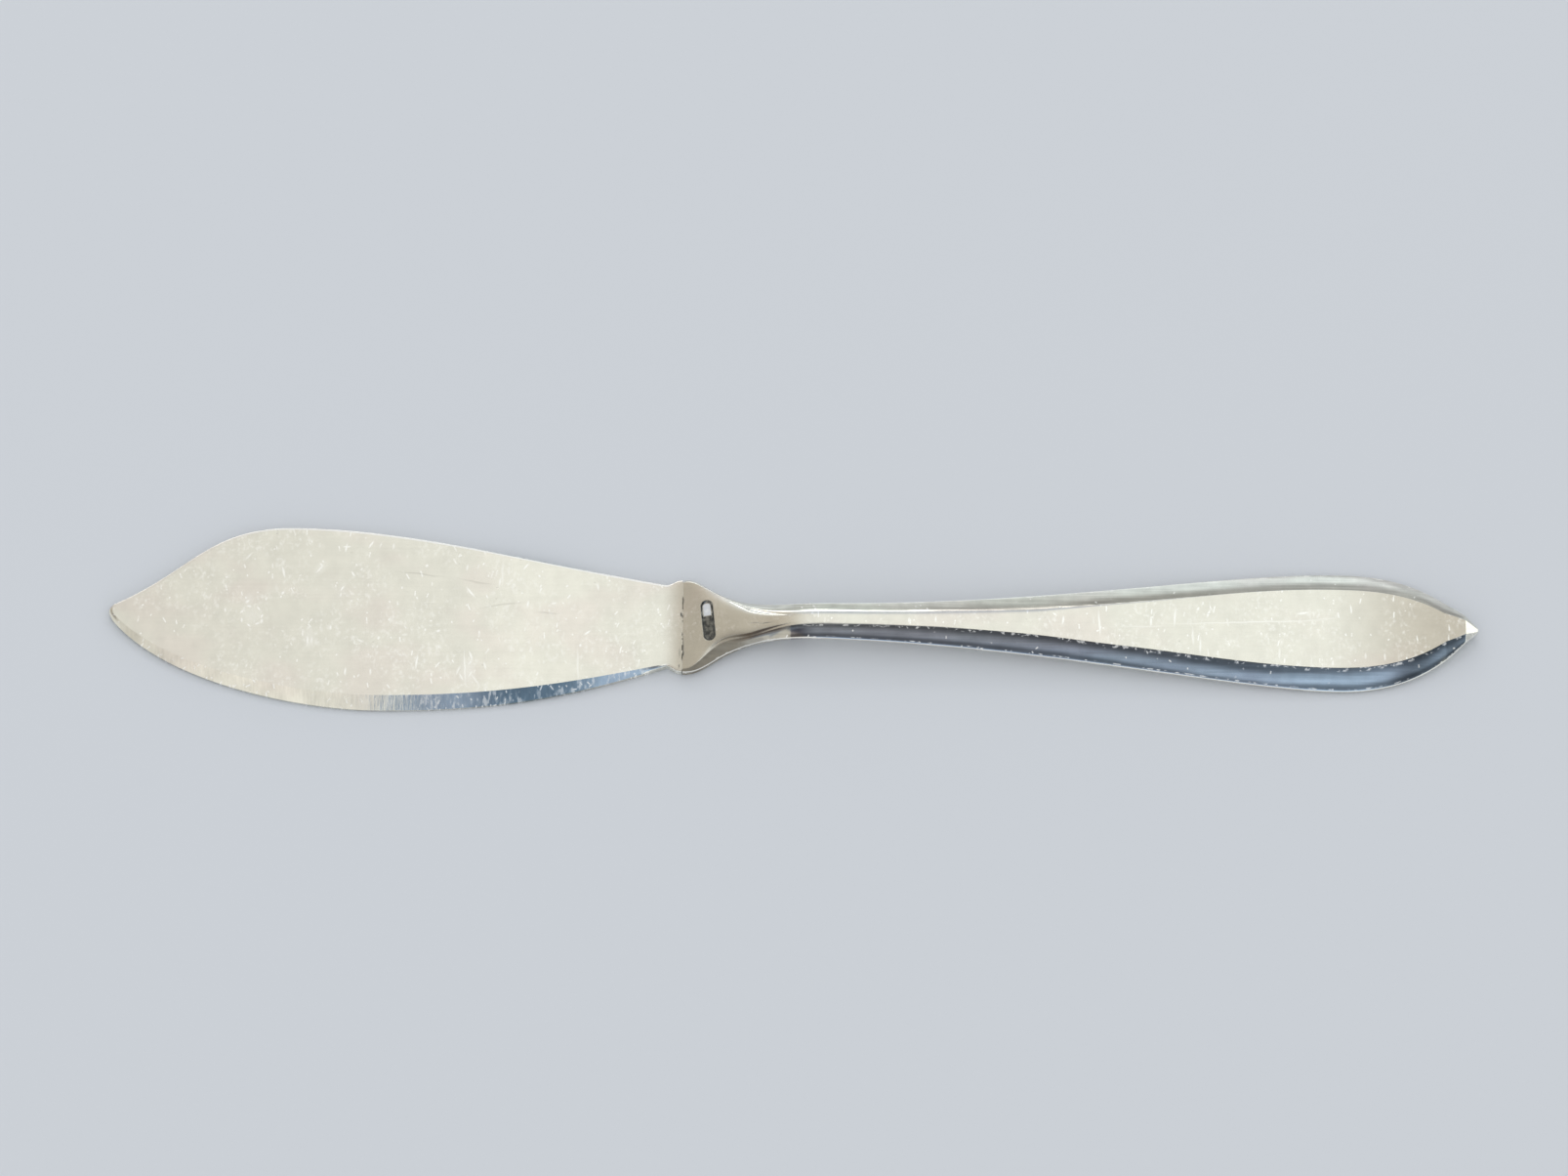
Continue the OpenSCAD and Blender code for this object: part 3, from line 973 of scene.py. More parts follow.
    def _metal(self, coat: Coat, bare: Signal) -> Signal:
        """Makes the painted recess highlight and the painted flank shade scatter light, not mirror it."""
        return bare * (1 - self._glint(coat)) * (1 - self._flank_shade(coat) * self.flank_shade_scatter)

    def _recess(self, coat: Coat) -> tuple[Signal, Signal]:
        """Measures the oval recess.

        Args:
            coat: Bench of the finish.

        Returns:
            Distance from the recess's middle line in half widths, and the place along that line.
        """
        across, along, _ = coat.split(coat.seat(coat.place, self.mark, self.mark_turn, (1.0, 1.0)))
        end = (abs(along) - self.mark_reach).most(0.0)
        flat = coat.node("ShaderNodeCombineXYZ", {}, {0: across, 1: end}).outputs[0]
        return coat.length(flat) / self.mark_half, along

    def _tarnish(self, coat: Coat) -> Signal:
        """Adds the recess: a dark outline and a dark lower part below a bright patch."""
        out, along = self._recess(coat)
        mottle = self.mottle.mask(coat)
        outline = out.window(*self.outline_edge) * (mottle * self.outline_gain + self.outline_least)
        floor = out.fall(*self.floor_edge) * along.fall(*self.floor_top)
        floor = floor * (mottle * self.floor_gain + self.floor_least)
        return super()._tarnish(coat).most(outline).most(floor)


@dataclass(frozen=True)
class SolderFinish:
    """Hard solder in the seam: dark with tarnish, and bright where it was burnished flush."""

    name: str = "tarnished_solder"
    dark: Colour = (0.07, 0.065, 0.055)
    flush: Colour = (0.66, 0.62, 0.53)
    rough: float = 0.3
    flecks: Grain = Grain((0.4, 0.4, 0.4), 2.0)
    fleck_rise: Point = (0.34, 0.54)
    fleck_rough: float = 0.2
    fleck_height: float = 0.01
    strokes: tuple[Point, ...] = ((-5.3, -1.8), (-0.3, 0.8), (1.2, 3.0))
    stroke_soft: float = 0.25
    stroke_show: float = 0.95

    def paint(self) -> bpy.types.Material:
        """Makes the material.

        Returns:
            The material, named for the finish.
        """
        coat = Coat(self.name)
        fleck = self.flecks.level(coat)
        stroke = top_of(coat.y.band(low, high, self.stroke_soft) for low, high in self.strokes)
        bare = 1.0 - stroke * fleck.rise(*self.fleck_rise) * self.stroke_show
        return coat.surface(
            {
                "Base Color": coat.mix(bare, self.dark, self.flush),
                "Metallic": 1.0,
                "Roughness": fleck * self.fleck_rough + self.rough,
                "Normal": coat.bump(fleck * self.fleck_height),
            }
        )


def seat_piece(piece: bpy.types.Object, node: str, material: bpy.types.Material) -> None:
    """Gives a piece its material and puts it in the place of its CAD node.

    Args:
        piece: The finished piece.
        node: Name of the CAD node that it stands for.
        material: The finish.
    """
    piece.data.materials.append(material)
    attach(piece, BODY)
    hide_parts(node)


@dataclass
class Blade:
    """The leaf-shaped sheet with its rounded spine, its ground belly and two ears at the seam.

    The reaches are the lengths of a curve's two handles as shares of its run, and the tilts say how far
    a handle's end has come from one end's height to the other's.
    """

    datum: Datum
    seam_gap: float
    ear_half: float
    length: float = 71.3
    thickness: float = 1.3
    spine_height: float = 12.8
    crest_from_seam: float = 48.6
    belly_depth: float = 11.2
    belly_from_seam: float = 37.7
    spine_root: float = 5.5
    belly_root: float = 5.35
    nose_rise: float = 1.25
    nose_width: float = 2.3
    nose_bulge: float = 0.7
    nose_tilt: float = 0.25
    ear_length: float = 1.9
    ear_reach: Point = (0.5, 0.7)
    spine_reach: Point = (0.32, 0.32)
    spine_tilt: float = 0.34
    clip_reach: Point = (0.49, 0.42)
    clip_tilt: float = 0.42
    entry_reach: Point = (0.21, 0.29)
    entry_tilt: float = 0.7
    belly_reach: Point = (0.33, 0.4)
    belly_tilt: float = 0.82
    ear_steps: int = 14
    nose_steps: int = 24
    clip_steps: int = 60
    long_steps: int = 70
    edge_round: float = 0.3
    grind_width: float = 1.7
    grind_hold: float = 3.2
    nose_grind: float = 0.6
    edge_thickness: float = 0.4
    edge_relief: float = 0.1
    flat_guard: float = 0.05
    full_flat_from: float = 0.25
    rim_slope: float = 0.1
    rim_share: float = 0.45
    rim_from: float = 0.6
    edge_shares: tuple[float, ...] = (0.0, 0.12, 0.24, 0.36, 0.48, 0.6, 0.64, 0.95, 1.0)
    sharp: float = 22.0
    root_rise: float = 0.15
    root_run: float = 2.6
    root_cuts: Triple = (-2.9, -0.05, 0.15)

    def _late(self, t: float) -> float:
        """Holds a stretch's first width over most of its way."""
        return t**self.grind_hold

    def _stretches(self) -> tuple[Stretch, ...]:
        """Draws the curves from the spine's ear round the nose to the belly's ear.

        Returns:
            The curves with the width of the ground edge along them.
        """
        ear, spine, belly = self.ear_half, self.spine_root, -self.belly_root
        high, deep = self.spine_height, -self.belly_depth
        root, crest, low = -self.ear_length, -self.crest_from_seam, -self.belly_from_seam
        nose = self.nose_bulge - self.length
        top = self.nose_rise + self.nose_width / 2
        foot = self.nose_rise - self.nose_width / 2
        level, curl = (root * share for share in self.ear_reach)
        spine_out, spine_in = (share * (root - crest) for share in self.spine_reach)
        clip_out, clip_in = (share * (crest - nose) for share in self.clip_reach)
        entry_out, entry_in = (share * (low - nose) for share in self.entry_reach)
        belly_out, belly_in = (share * (root - low) for share in self.belly_reach)
        entry = lerp(foot, deep, self.entry_tilt)
        # The middle of a cubic comes three quarters of the way out to its handles.
        bulge = self.nose_bulge * 4 / 3
        foot_up = foot + bulge * (foot - entry) / entry_out
        spine_up = lerp(spine, high, self.spine_tilt)
        clip_up = lerp(top, high, self.clip_tilt)
        belly_up = lerp(belly, deep, self.belly_tilt)
        nose_up = lerp(top, foot, self.nose_tilt)
        plain, ground, blunt = self.edge_round, self.grind_width, self.nose_grind
        upper_ear = Bend((0, ear), (level, ear), (curl, spine), (root, spine))
        back = Bend((root, spine), (root - spine_out, spine_up), (crest + spine_in, high), (crest, high))
        clip = Bend((crest, high), (crest - clip_out, high), (nose + clip_in, clip_up), (nose, top))
        tip = Bend((nose, top), (nose - bulge, nose_up), (nose - bulge, foot_up), (nose, foot))
        front = Bend((nose, foot), (nose + entry_out, entry), (low - entry_in, deep), (low, deep))
        under = Bend((low, deep), (low + belly_out, deep), (root - belly_in, belly_up), (root, belly))
        lower_ear = Bend((root, belly), (curl, belly), (level, -ear), (0, -ear))
        return (
            Stretch(upper_ear, self.ear_steps, plain, plain),
            Stretch(back, self.long_steps, plain, plain),
            Stretch(clip, self.clip_steps, plain, plain),
            Stretch(tip, self.nose_steps, plain, blunt),
            Stretch(front, self.long_steps, blunt, ground, ease_out),
            Stretch(under, self.long_steps, ground, plain, self._late),
            Stretch(lower_ear, self.ear_steps, plain, plain),
        )

    def outline(self) -> list[Triple]:
        """Walks along the curves.

        Returns:
            Place from the seam, place from the axis and width of the ground edge at each point.
        """
        points = []
        for bend, steps, first, last, pace in self._stretches():
            for index in range(steps):
                way = index / steps
                points.append((*bend.at(way), lerp(first, last, pace(way))))
        points.append((0.0, -self.ear_half, self.edge_round))
        return points

    def rings(self) -> list[list[RingPoint]]:
        """Stacks the sheet's rings from its back face over the edge to its front face.

        Returns:
            The rings, with the edge's bright wear and painted highlight on those that round it.
        """
        edge = self.outline()
        inward = [Vector((0, -1))]
        for before, after in zip(edge, edge[2:]):
            inward.append(Vector((before[1] - after[1], after[0] - before[0])).normalized())
        inward.append(Vector((0, 1)))
        shapes = [(lambda _: (self.edge_round + self.flat_guard, 0.0), 0.0)]
        shapes += [(partial(self._under, turn * math.pi / 2), 0.0) for turn in QUARTERS]
        # The rim's narrow bevel is worn bright, which also paints its highlight line.
        shapes += [(partial(self._over, u), float(self.rim_from < u < 1.0)) for u in self.edge_shares]
        shapes += [(lambda share: (self._grind(share) + self.flat_guard, self.thickness), 0.0)]
        return [self._ring(edge, inward, shape, worn_sheen) for shape, worn_sheen in shapes]

    def _grind(self, share: float) -> float:
        """Gives the width of the ground edge at a share of the full grind."""
        return lerp(self.edge_round, self.grind_width, share)

    def _under(self, angle: float, share: float) -> Point:
        """Gives inset and height on the rounding under the edge."""
        low = lerp(self.edge_round, self.edge_relief, share)
        return self.edge_round * (1 - math.sin(angle)), low * (1 - math.cos(angle))

    def _over(self, u: float, share: float) -> Point:
        """Gives inset and height on the ground edge, which is a rounding where nothing was ground.

        Args:
            u: Share of the way from the side to the front face.
            share: Share of the full grind.

        Returns:
            Inset from the outline and height.
        """
        high = lerp(self.thickness - self.edge_round, self.edge_thickness, share)
        straight = clamp(share / self.full_flat_from)
        inset, rise = (lerp(value, u, straight) for value in self._rim(u))
        return self._grind(share) * inset, high + (self.thickness - high) * rise

    def _rim(self, u: float) -> Point:
        """Gives a plain edge: a rounding below a narrow bevel, which catches light.

        Args:
            u: Share of the way from the side to the front face.

        Returns:
            Share of the inset and share of the rise.
        """
        start = 1 - self.rim_slope * (1 - self.rim_share)
        if u > self.rim_from:
            t = (u - self.rim_from) / (1 - self.rim_from)
            return lerp(self.rim_share, 1.0, t), lerp(start, 1.0, t)
        t = u / self.rim_from
        corner = 1 - self.rim_slope
        return self.rim_share * t * t, 2 * t * (1 - t) * corner + t * t * start

    def _ring(
        self, edge: Sequence[Triple], inward: Sequence[Vector], shape: Callable[[float], Point], worn_sheen: float
    ) -> list[RingPoint]:
        """Lays one ring round the outline.

        Args:
            edge: The outline's points.
            inward: Unit vectors into the sheet.
            shape: Gives inset and height for a share of the full grind.
            worn_sheen: Wear and painted highlight of the edge on this ring.

        Returns:
            The ring.
        """
        ring = []
        for (x, y, width), unit in zip(edge, inward):
            share = (width - self.edge_round) / (self.grind_width - self.edge_round)
            inset, height = shape(share)
            along = min(x + unit.x * inset, 0.0) - self.seam_gap
            rim = worn_sheen * clamp(1 - share / self.full_flat_from)
            ring.append(RingPoint(self.datum.place(along, y + unit.y * inset, height), rim))
        return ring

    def _risen(self, place: Vector) -> Vector:
        """Lifts the root towards the shoulder, which the blade meets flush."""
        along = place.x / MM - self.datum.seam_x + self.seam_gap
        share = clamp((along + self.root_run) / self.root_run) ** 2
        return Vector((place.x, place.y, place.z * (1 + share * self.root_rise / self.thickness)))

    def build(self) -> bpy.types.Object:
        """Draws the sheet out of its back ring and lifts its root."""
        draw = RingDraw("blade_sheet", self.rings())
        for along in spread(*self.root_cuts):
            draw.cut_across((self.datum.seam_x - self.seam_gap + along) * MM)
        draw.reshape(self._risen)
        return draw.close(self.sharp)

    def dress(self, piece: bpy.types.Object) -> None:
        """Gives the sheet its scratched silver."""
        seat_piece(piece, "blade", BladeFinish().paint())


@dataclass
class Handle:
    """The forged bar from the shoulder through the raised neck to the flat grip and its pointed tip.

    Courses are stops of distance from the seam and value. The reaches are the lengths of a curve's two
    handles as shares of its run. The leasts are shares of the half width that a face keeps at least, and
    the mosts are shares of a face or a side that a rounding takes at most.
    """

    datum: Datum
    ear_half: float
    shoulder_thickness: float = 1.45
    shoulder_reach: Point = (0.23, 0.3)
    shoulder_swell: float = 0.15
    shoulder_bevel: float = 0.5
    shoulder_bevel_from: float = 2.5
    edge_round: float = 0.3
    neck_from_seam: float = 13.0
    crown_from_seam: float = 18.0
    neck_width: float = 4.6
    neck_thickness: float = 2.686
    neck_lift: float = 1.5
    neck_flat: float = 1.4
    neck_bevel: float = 0.8
    neck_keel: float = 2.3
    length: float = 98.7
    broad_from_seam: float = 81.4
    width: float = 15.6
    thickness: float = 2.15
    flare_reach: Point = (0.44, 0.21)
    flat: float = 10.4
    bevel: float = 1.75
    bevel_turn: float = 1.1
    bevel_swell: float = 0.017
    back_round: float = 0.9
    side_face: float = 0.4
    end_reach: Point = (0.52, 0.24)
    end_taper: float = 0.56
    end_thickness: float = 2.5
    end_lift: float = 0.5
    tip_side: float = 0.8
    tip_facet: float = 1.6
    tip_width: float = 0.6
    tip_offset: float = 0.1
    tip_slope: float = 0.78
    tip_drop: float = 0.1
    slot_end: float = 4.1
    neck_least: float = 0.3
    low_least: float = 0.12
    tip_least: float = 0.5
    mark_length: float = 5.4
    mark_width: float = 1.5
    mark_depth: float = 0.25
    mark_wall: float = 0.32
    mark_dish: float = 0.25
    mark_from_seam: float = 3.12
    mark_offset: float = 0.4
    mark_lean: float = 6.0
    flank_from: float = 3.0
    flank_sag: Course = ((0.0, 0.0), (3.96, 0.35), (5.4, 0.35), (16.2, 0.0))
    face_crown: Course = ((0.3, 0.0), (4.3, 0.2), (8.0, 0.2), (15.0, 0.0))
    crown_power: int = 4
    low_wear: Course = ((12.0, 0.0), (16.0, 0.5))
    wear_fade: float = 0.3
    wear_tail: float = 0.8
    low_edge: Course = ((0.0, 0.12), (3.5, 0.42), (9.0, 0.4), (14.0, 0.25), (25.0, 0.12), (48.0, 0.045))
    high_edge: Course = (
        (0.0, 0.12), (5.0, 0.2), (9.0, 0.5), (32.0, 0.45), (44.0, 0.34), (54.0, 0.15), (70.0, 0.05)
    )
    flank_gain: Course = ((0.6, 0.0), (4.4, 0.7), (8.8, -0.4), (15.0, 0.22), (21.0, 0.06), (34.0, 0.0))
    bevel_gain: Course = ((13.0, 0.0), (20.0, 0.22), (31.0, 0.42), (42.0, 0.44), (54.0, 0.24), (74.0, 0.0))
    lead_most: float = 0.42
    shelf_most: float = 0.4
    round_most: float = 0.3
    brow_round: float = 0.15
    cheek_round: float = 0.1
    heel_round: float = 0.15
    first_places: tuple[float, ...] = (0.0, 0.05, 0.12, 0.22, 0.35, 0.55, 0.8, 1.1, 1.4)
    pitches: tuple[Triple, ...] = (
        (1.7, 4.2, 0.07), (4.2, 10.0, 0.2), (10.0, 24.0, 0.4), (24.0, 74.0, 1.0), (74.0, 90.0, 0.5)
    )
    end_pitch: Point = (90.0, 0.25)
    facet_turn: float = 0.06
    facet_pitch: Point = (0.25, 0.2)
    top_steps: int = 110
    bevel_steps: int = 9
    back_steps: int = 8

    def __post_init__(self) -> None:
        """Works out the outline's three curves and the heights that the sections pass through."""
        ear, neck, broad = self.ear_half, self.neck_width / 2, self.width / 2
        first, last = self.neck_from_seam, self.broad_from_seam
        self.end_run = self.length - last
        swollen = lerp(ear, neck, -self.shoulder_swell)
        leave, arrive = (share * first for share in self.shoulder_reach)
        self.shoulder_bend = Bend((0, ear), (leave, swollen), (arrive, neck), (first, neck))
        leave, arrive = (share * (last - first) for share in self.flare_reach)
        self.flare_bend = Bend((first, neck), (first + leave, neck), (last - arrive, broad), (last, broad))
        leave, arrive = (share * self.end_run for share in self.end_reach)
        taper = (self.length - arrive, broad * self.end_taper)
        self.end_bend = Bend((last, broad), (last + leave, broad), taper, (self.length, self.tip_width / 2))
        self.neck_top = self.neck_lift + self.neck_thickness
        self.end_top = self.end_lift + self.end_thickness

    def half_width(self, s: float) -> float:
        """Gives half the handle's width at a distance from the seam."""
        if s < self.neck_from_seam:
            return self.shoulder_bend.height(s)
        if s < self.broad_from_seam:
            return self.flare_bend.height(s)
        return self.end_bend.height(s)

    def _along(self, s: float, seam: float, crown: float, broad: float, tip: float) -> float:
        """Passes through a size's values at the seam, the crown, the broadest place and the tip.

        Args:
            s: Distance from the seam.
            seam: Value at the seam.
            crown: Value at the crown.
            broad: Value at the broadest place.
            tip: Value at the tip.

        Returns:
            The size.
        """
        if s < self.crown_from_seam:
            return lerp(seam, crown, ease_out(s / self.crown_from_seam))
        if s < self.broad_from_seam:
            run = self.broad_from_seam - self.crown_from_seam
            return lerp(crown, broad, (s - self.crown_from_seam) / run)
        return lerp(broad, tip, ((s - self.broad_from_seam) / self.end_run) ** 2)

    def top(self, s: float) -> float:
        """Gives the height of the top face, which the tip's facet cuts."""
        whole = self._along(s, self.shoulder_thickness, self.neck_top, self.thickness, self.end_top)
        cut = clamp((s - self.length + self.tip_facet) / self.tip_facet)
        if cut > 0:
            return lerp(whole, self.side(s) + self.side_face, cut)
        return whole

    def side(self, s: float) -> float:
        """Gives the height of the middle of the side face."""
        neck = self.neck_top - self.neck_bevel
        if self.crown_from_seam < s < self.broad_from_seam:
            share = (s - self.crown_from_seam) / (self.broad_from_seam - self.crown_from_seam)
            return self.top(s) - lerp(self.neck_bevel, self.bevel, share**self.bevel_turn)
        seam = self.shoulder_thickness / 2
        plain = self._along(s, seam, neck, self.thickness - self.bevel, self.end_lift + self.tip_side)
        return plain - passing(self.flank_sag, s) * (neck - seam)

    def back(self, s: float) -> float:
        """Gives the height of the underside."""
        if s < self.crown_from_seam:
            return self.neck_lift * smooth((s - self.slot_end) / (self.crown_from_seam - self.slot_end))
        return self._along(s, 0.0, self.neck_lift, 0.0, self.end_lift)

    def recess(self, s: float, y: float) -> float:
        """Gives the depth of the blank oval recess at a place on the shoulder."""
        lean = math.radians(self.mark_lean)
        ds = s - self.mark_from_seam
        dy = y - self.mark_offset
        along = dy * math.cos(lean) - ds * math.sin(lean)
        across = ds * math.cos(lean) + dy * math.sin(lean)
        half = self.mark_width / 2
        out = math.hypot(max(abs(along) - (self.mark_length / 2 - half), 0.0), across) / half
        wall = smooth((1 - out) / self.mark_wall)
        return self.mark_depth * lerp(wall, clamp(1 - out * out), self.mark_dish)

    def stations(self) -> list[float]:
        """Gives the distances from the seam of the sections, close together where the form turns."""
        facet = self.length - self.tip_facet
        places = list(self.first_places)
        for start, end, step in self.pitches:
            places += spread(start, end, step)
        places += spread(self.end_pitch[0], facet - self.facet_turn, self.end_pitch[1])
        places += [facet - self.facet_turn, facet, facet + self.facet_turn]
        places += spread(facet + self.facet_pitch[0], self.length, self.facet_pitch[1])
        return places + [self.length]

    def _bevel_run(self, s: float) -> float:
        """Gives the width of the plain bevel, which opens out of the shoulder's edge towards the neck."""
        neck = (self.neck_width - self.neck_flat) / 2
        if s < self.crown_from_seam:
            start = lerp(self.edge_round, self.shoulder_bevel, smooth(s / self.shoulder_bevel_from))
            return lerp(start, neck, smooth((s - self.flank_from) / (self.crown_from_seam - self.flank_from)))
        return self._along(s, 0.0, neck, (self.width - self.flat) / 2, self.tip_facet)

    def _corner(
        self, before: Vector, tip: Vector, after: Vector, worn_sheen: float = 0.0, shares: Point = (1.0, 1.0)
    ) -> list[Profile]:
        """Rounds a corner of a section.

        Args:
            before: Where the rounding starts.
            tip: The sharp corner.
            after: Where the rounding ends.
            worn_sheen: Wear and painted highlight in the middle of the rounding.
            shares: Shares of the bevel at both ends.

        Returns:
            The points of the rounding.
        """
        points = []
        for t in QUARTERS:
            spot = before * (1 - t) ** 2 + tip * (2 * t * (1 - t)) + after * t * t
            wear_sheen = worn_sheen * (1 - self.wear_fade * abs(2 * t - 1))
            points.append((spot.x, spot.y, wear_sheen, lerp(*shares, t)))
        return points

    def _descent(self, s: float, gain: float, soft: float, worn_sheen: float, neck_least: float) -> list[Profile]:
        """Draws one half of a section, from the top face over the bevel and the side to the underside.

        Args:
            s: Distance from the seam.
            gain: Width of the bevel beyond the plain one.
            soft: Reach of the rounding of the top face's edge.
            worn_sheen: Wear and painted highlight of that edge.
            neck_least: Least share of the half width that the top face keeps at the neck.

        Returns:
            Distance from the middle, height, edge wear with painted highlight and bevel share of each point.
        """
        w = self.half_width(s)
        keel_run = (self.neck_width - self.neck_keel) / 2
        back_run = self._along(s, self.edge_round, keel_run, self.back_round, self.back_round)
        upright = self.side_face / 2
        half_side = self._along(s, self.shoulder_thickness / 2 - self.edge_round, upright, upright, upright)
        way = clamp(s / self.length)
        flat = max(w - self._bevel_run(s) - gain, w * lerp(neck_least, self.tip_least, way))
        keel = max(w - back_run, w * lerp(self.neck_least, self.tip_least, way))
        crest = Vector((flat, self.top(s) - passing(self.face_crown, s)))
        side = self.side(s)
        if s > self.broad_from_seam:
            side = max(side, crest.y - half_side - max(self.tip_slope * (w - flat), self.tip_drop))
        brow = Vector((w, side + half_side))
        cheek = Vector((w, side - half_side))
        heel = Vector((keel, self.back(s)))
        chord = brow - crest
        outward = Vector((-chord.y, chord.x)).normalized()
        if outward.y < 0:
            outward = -outward
        run = chord.length

        def bulged(u: float) -> Vector:
            """Gives a point of the bevel, which swells a little between its two edges."""
            return crest + chord * u + outward * (self.bevel_swell * run * 4 * u * (1 - u))

        lead = min(soft / run, self.lead_most)
        tail = 1 - min(self.brow_round / run, self.round_most)
        turn = min(self.cheek_round, half_side / 2) / (2 * half_side)
        under = heel - cheek
        step = min(self.cheek_round / under.length, self.round_most)
        shelf = Vector((flat - min(soft, self.shelf_most * flat), crest.y))
        ledge = Vector((heel.x - min(self.heel_round, self.round_most * heel.x), heel.y))
        points = self._corner(shelf, crest, bulged(lead), worn_sheen, (0.0, lead))
        for index in range(1, self.bevel_steps):
            share = lerp(lead, tail, index / self.bevel_steps)
            spot = bulged(share)
            points.append((spot.x, spot.y, self.wear_tail * worn_sheen if index == 1 else 0.0, share))
        # The outer edge is worn bright all along, which also paints its highlight line.
        points += self._corner(bulged(tail), brow, brow.lerp(cheek, turn), 1.0, (tail, 1.0))
        points += self._corner(cheek.lerp(brow, turn), cheek, cheek + under * step)
        return points + self._corner(heel - under * step, heel, ledge)

    def section(self, s: float) -> list[RingPoint]:
        """Draws a whole section: the top face, the -Y side, the underside and the +Y side.

        Args:
            s: Distance from the seam.

        Returns:
            The ring.
        """
        middle = self.tip_offset * smooth((s - self.broad_from_seam) / self.end_run)
        gain = passing(self.bevel_gain, s)
        low_gain = gain + passing(self.flank_gain, s)
        wear_sheen = passing(self.low_wear, s)
        low = self._descent(s, low_gain, passing(self.low_edge, s), wear_sheen, self.low_least)
        high = self._descent(s, gain, passing(self.high_edge, s), 0.0, self.neck_least)
        low_reach, high_reach = low[0][0], high[0][0]
        keel, floor = low[-1][0], low[-1][1]
        crown = passing(self.face_crown, s)
        ring = []
        for index in range(1, self.top_steps):
            y = lerp(high_reach, -low_reach, index / self.top_steps)
            edge = abs(y / (high_reach if y > 0 else low_reach)) ** self.crown_power
            drop = crown * edge + self.recess(s, middle + y)
            ring.append(RingPoint(self.datum.place(s, middle + y, self.top(s) - drop)))
        for y, z, worn_sheen, slope in low:
            ring.append(RingPoint(self.datum.place(s, middle - y, z), worn_sheen, slope))
        for index in range(1, self.back_steps):
            y = middle + lerp(-keel, keel, index / self.back_steps)
            ring.append(RingPoint(self.datum.place(s, y, floor), 0.0, 1.0))
        for y, z, worn_sheen, slope in reversed(high):
            ring.append(RingPoint(self.datum.place(s, middle + y, z), worn_sheen, slope))
        return ring

    def build(self) -> bpy.types.Object:
        """Draws the bar out of its section at the seam."""
        return RingDraw("handle_bar", [self.section(s) for s in self.stations()]).close()

    def dress(self, piece: bpy.types.Object) -> None:
        """Gives the bar its scratched silver and the recess its tarnish."""
        half = self.mark_width / 2
        centre = self.datum.place(self.mark_from_seam, self.mark_offset, 0.0) / MM
        finish = HandleFinish(
            mark=(centre.x, centre.y),
            mark_turn=self.mark_lean,
            mark_reach=self.mark_length / 2 - half,
            mark_half=half,
        )
        seat_piece(piece, "handle", finish.paint())


@dataclass
class SolderSeam:
    """The bead of hard solder in the seam, burnished flush in some places and sunk in others."""

    datum: Datum
    gap: float
    width: float
    low: float = 0.3
    flush: float = 1.45
    sink: float = 0.1
    pitch: float = 0.16
    blotch: float = 1.7
    blotch_gain: float = 1.3
    blotch_spot: Point = (0.37, 0.81)

    def top(self, y: float) -> float:
        """Gives the height of the bead, which dips in blotches along the seam."""
        spot = Vector((self.blotch_spot[0], y / self.blotch, self.blotch_spot[1]))
        return self.flush - self.sink * smooth(0.5 + self.blotch_gain * noise.noise(spot))

    def section(self, y: float) -> list[RingPoint]:
        """Draws the bead's section, a narrow strip."""
        half = self.gap / 2
        top = self.top(y)
        shape = [(-half, self.low), (half, self.low), (half, top - half)]
        shape += [(half, top), (-half, top), (-half, top - half)]
        return [RingPoint(self.datum.place(x - half, y, z)) for x, z in shape]

    def build(self) -> bpy.types.Object:
        """Draws the bead along the seam."""
        places = spread(-self.width / 2, self.width / 2, self.pitch) + [self.width / 2]
        return RingDraw("solder_bead", [self.section(y) for y in places]).close()

    def dress(self, piece: bpy.types.Object) -> None:
        """Gives the bead its tarnish."""
        seat_piece(piece, "solder", SolderFinish().paint())


class Dome(Bench):
    """The bench of the world's light, which is painted by the direction that a ray takes."""

    def __init__(self, tree: bpy.types.NodeTree) -> None:
        """Clears the tree and measures the direction: degrees towards +Y and +X, and the share upwards."""
        super().__init__(tree)
        way = self.node("ShaderNodeTexCoord", {}, {}).outputs["Generated"]
        x, y, self.up = self.split(way)
        self.lat = y.arcsine() * math.degrees(1)
        self.lon = x.arcsine() * math.degrees(1)

    def ramp(self, stops: Stops) -> bpy.types.NodeSocket:
        """Lays a ramp whose stops are degrees towards +Y."""
        shares = [((degrees + 90) / 180, colour) for degrees, colour in stops]
        return self.node("ShaderNodeValToRGB", {"stops": shares}, {"Fac": (self.lat + 90) / 180}).outputs[0]


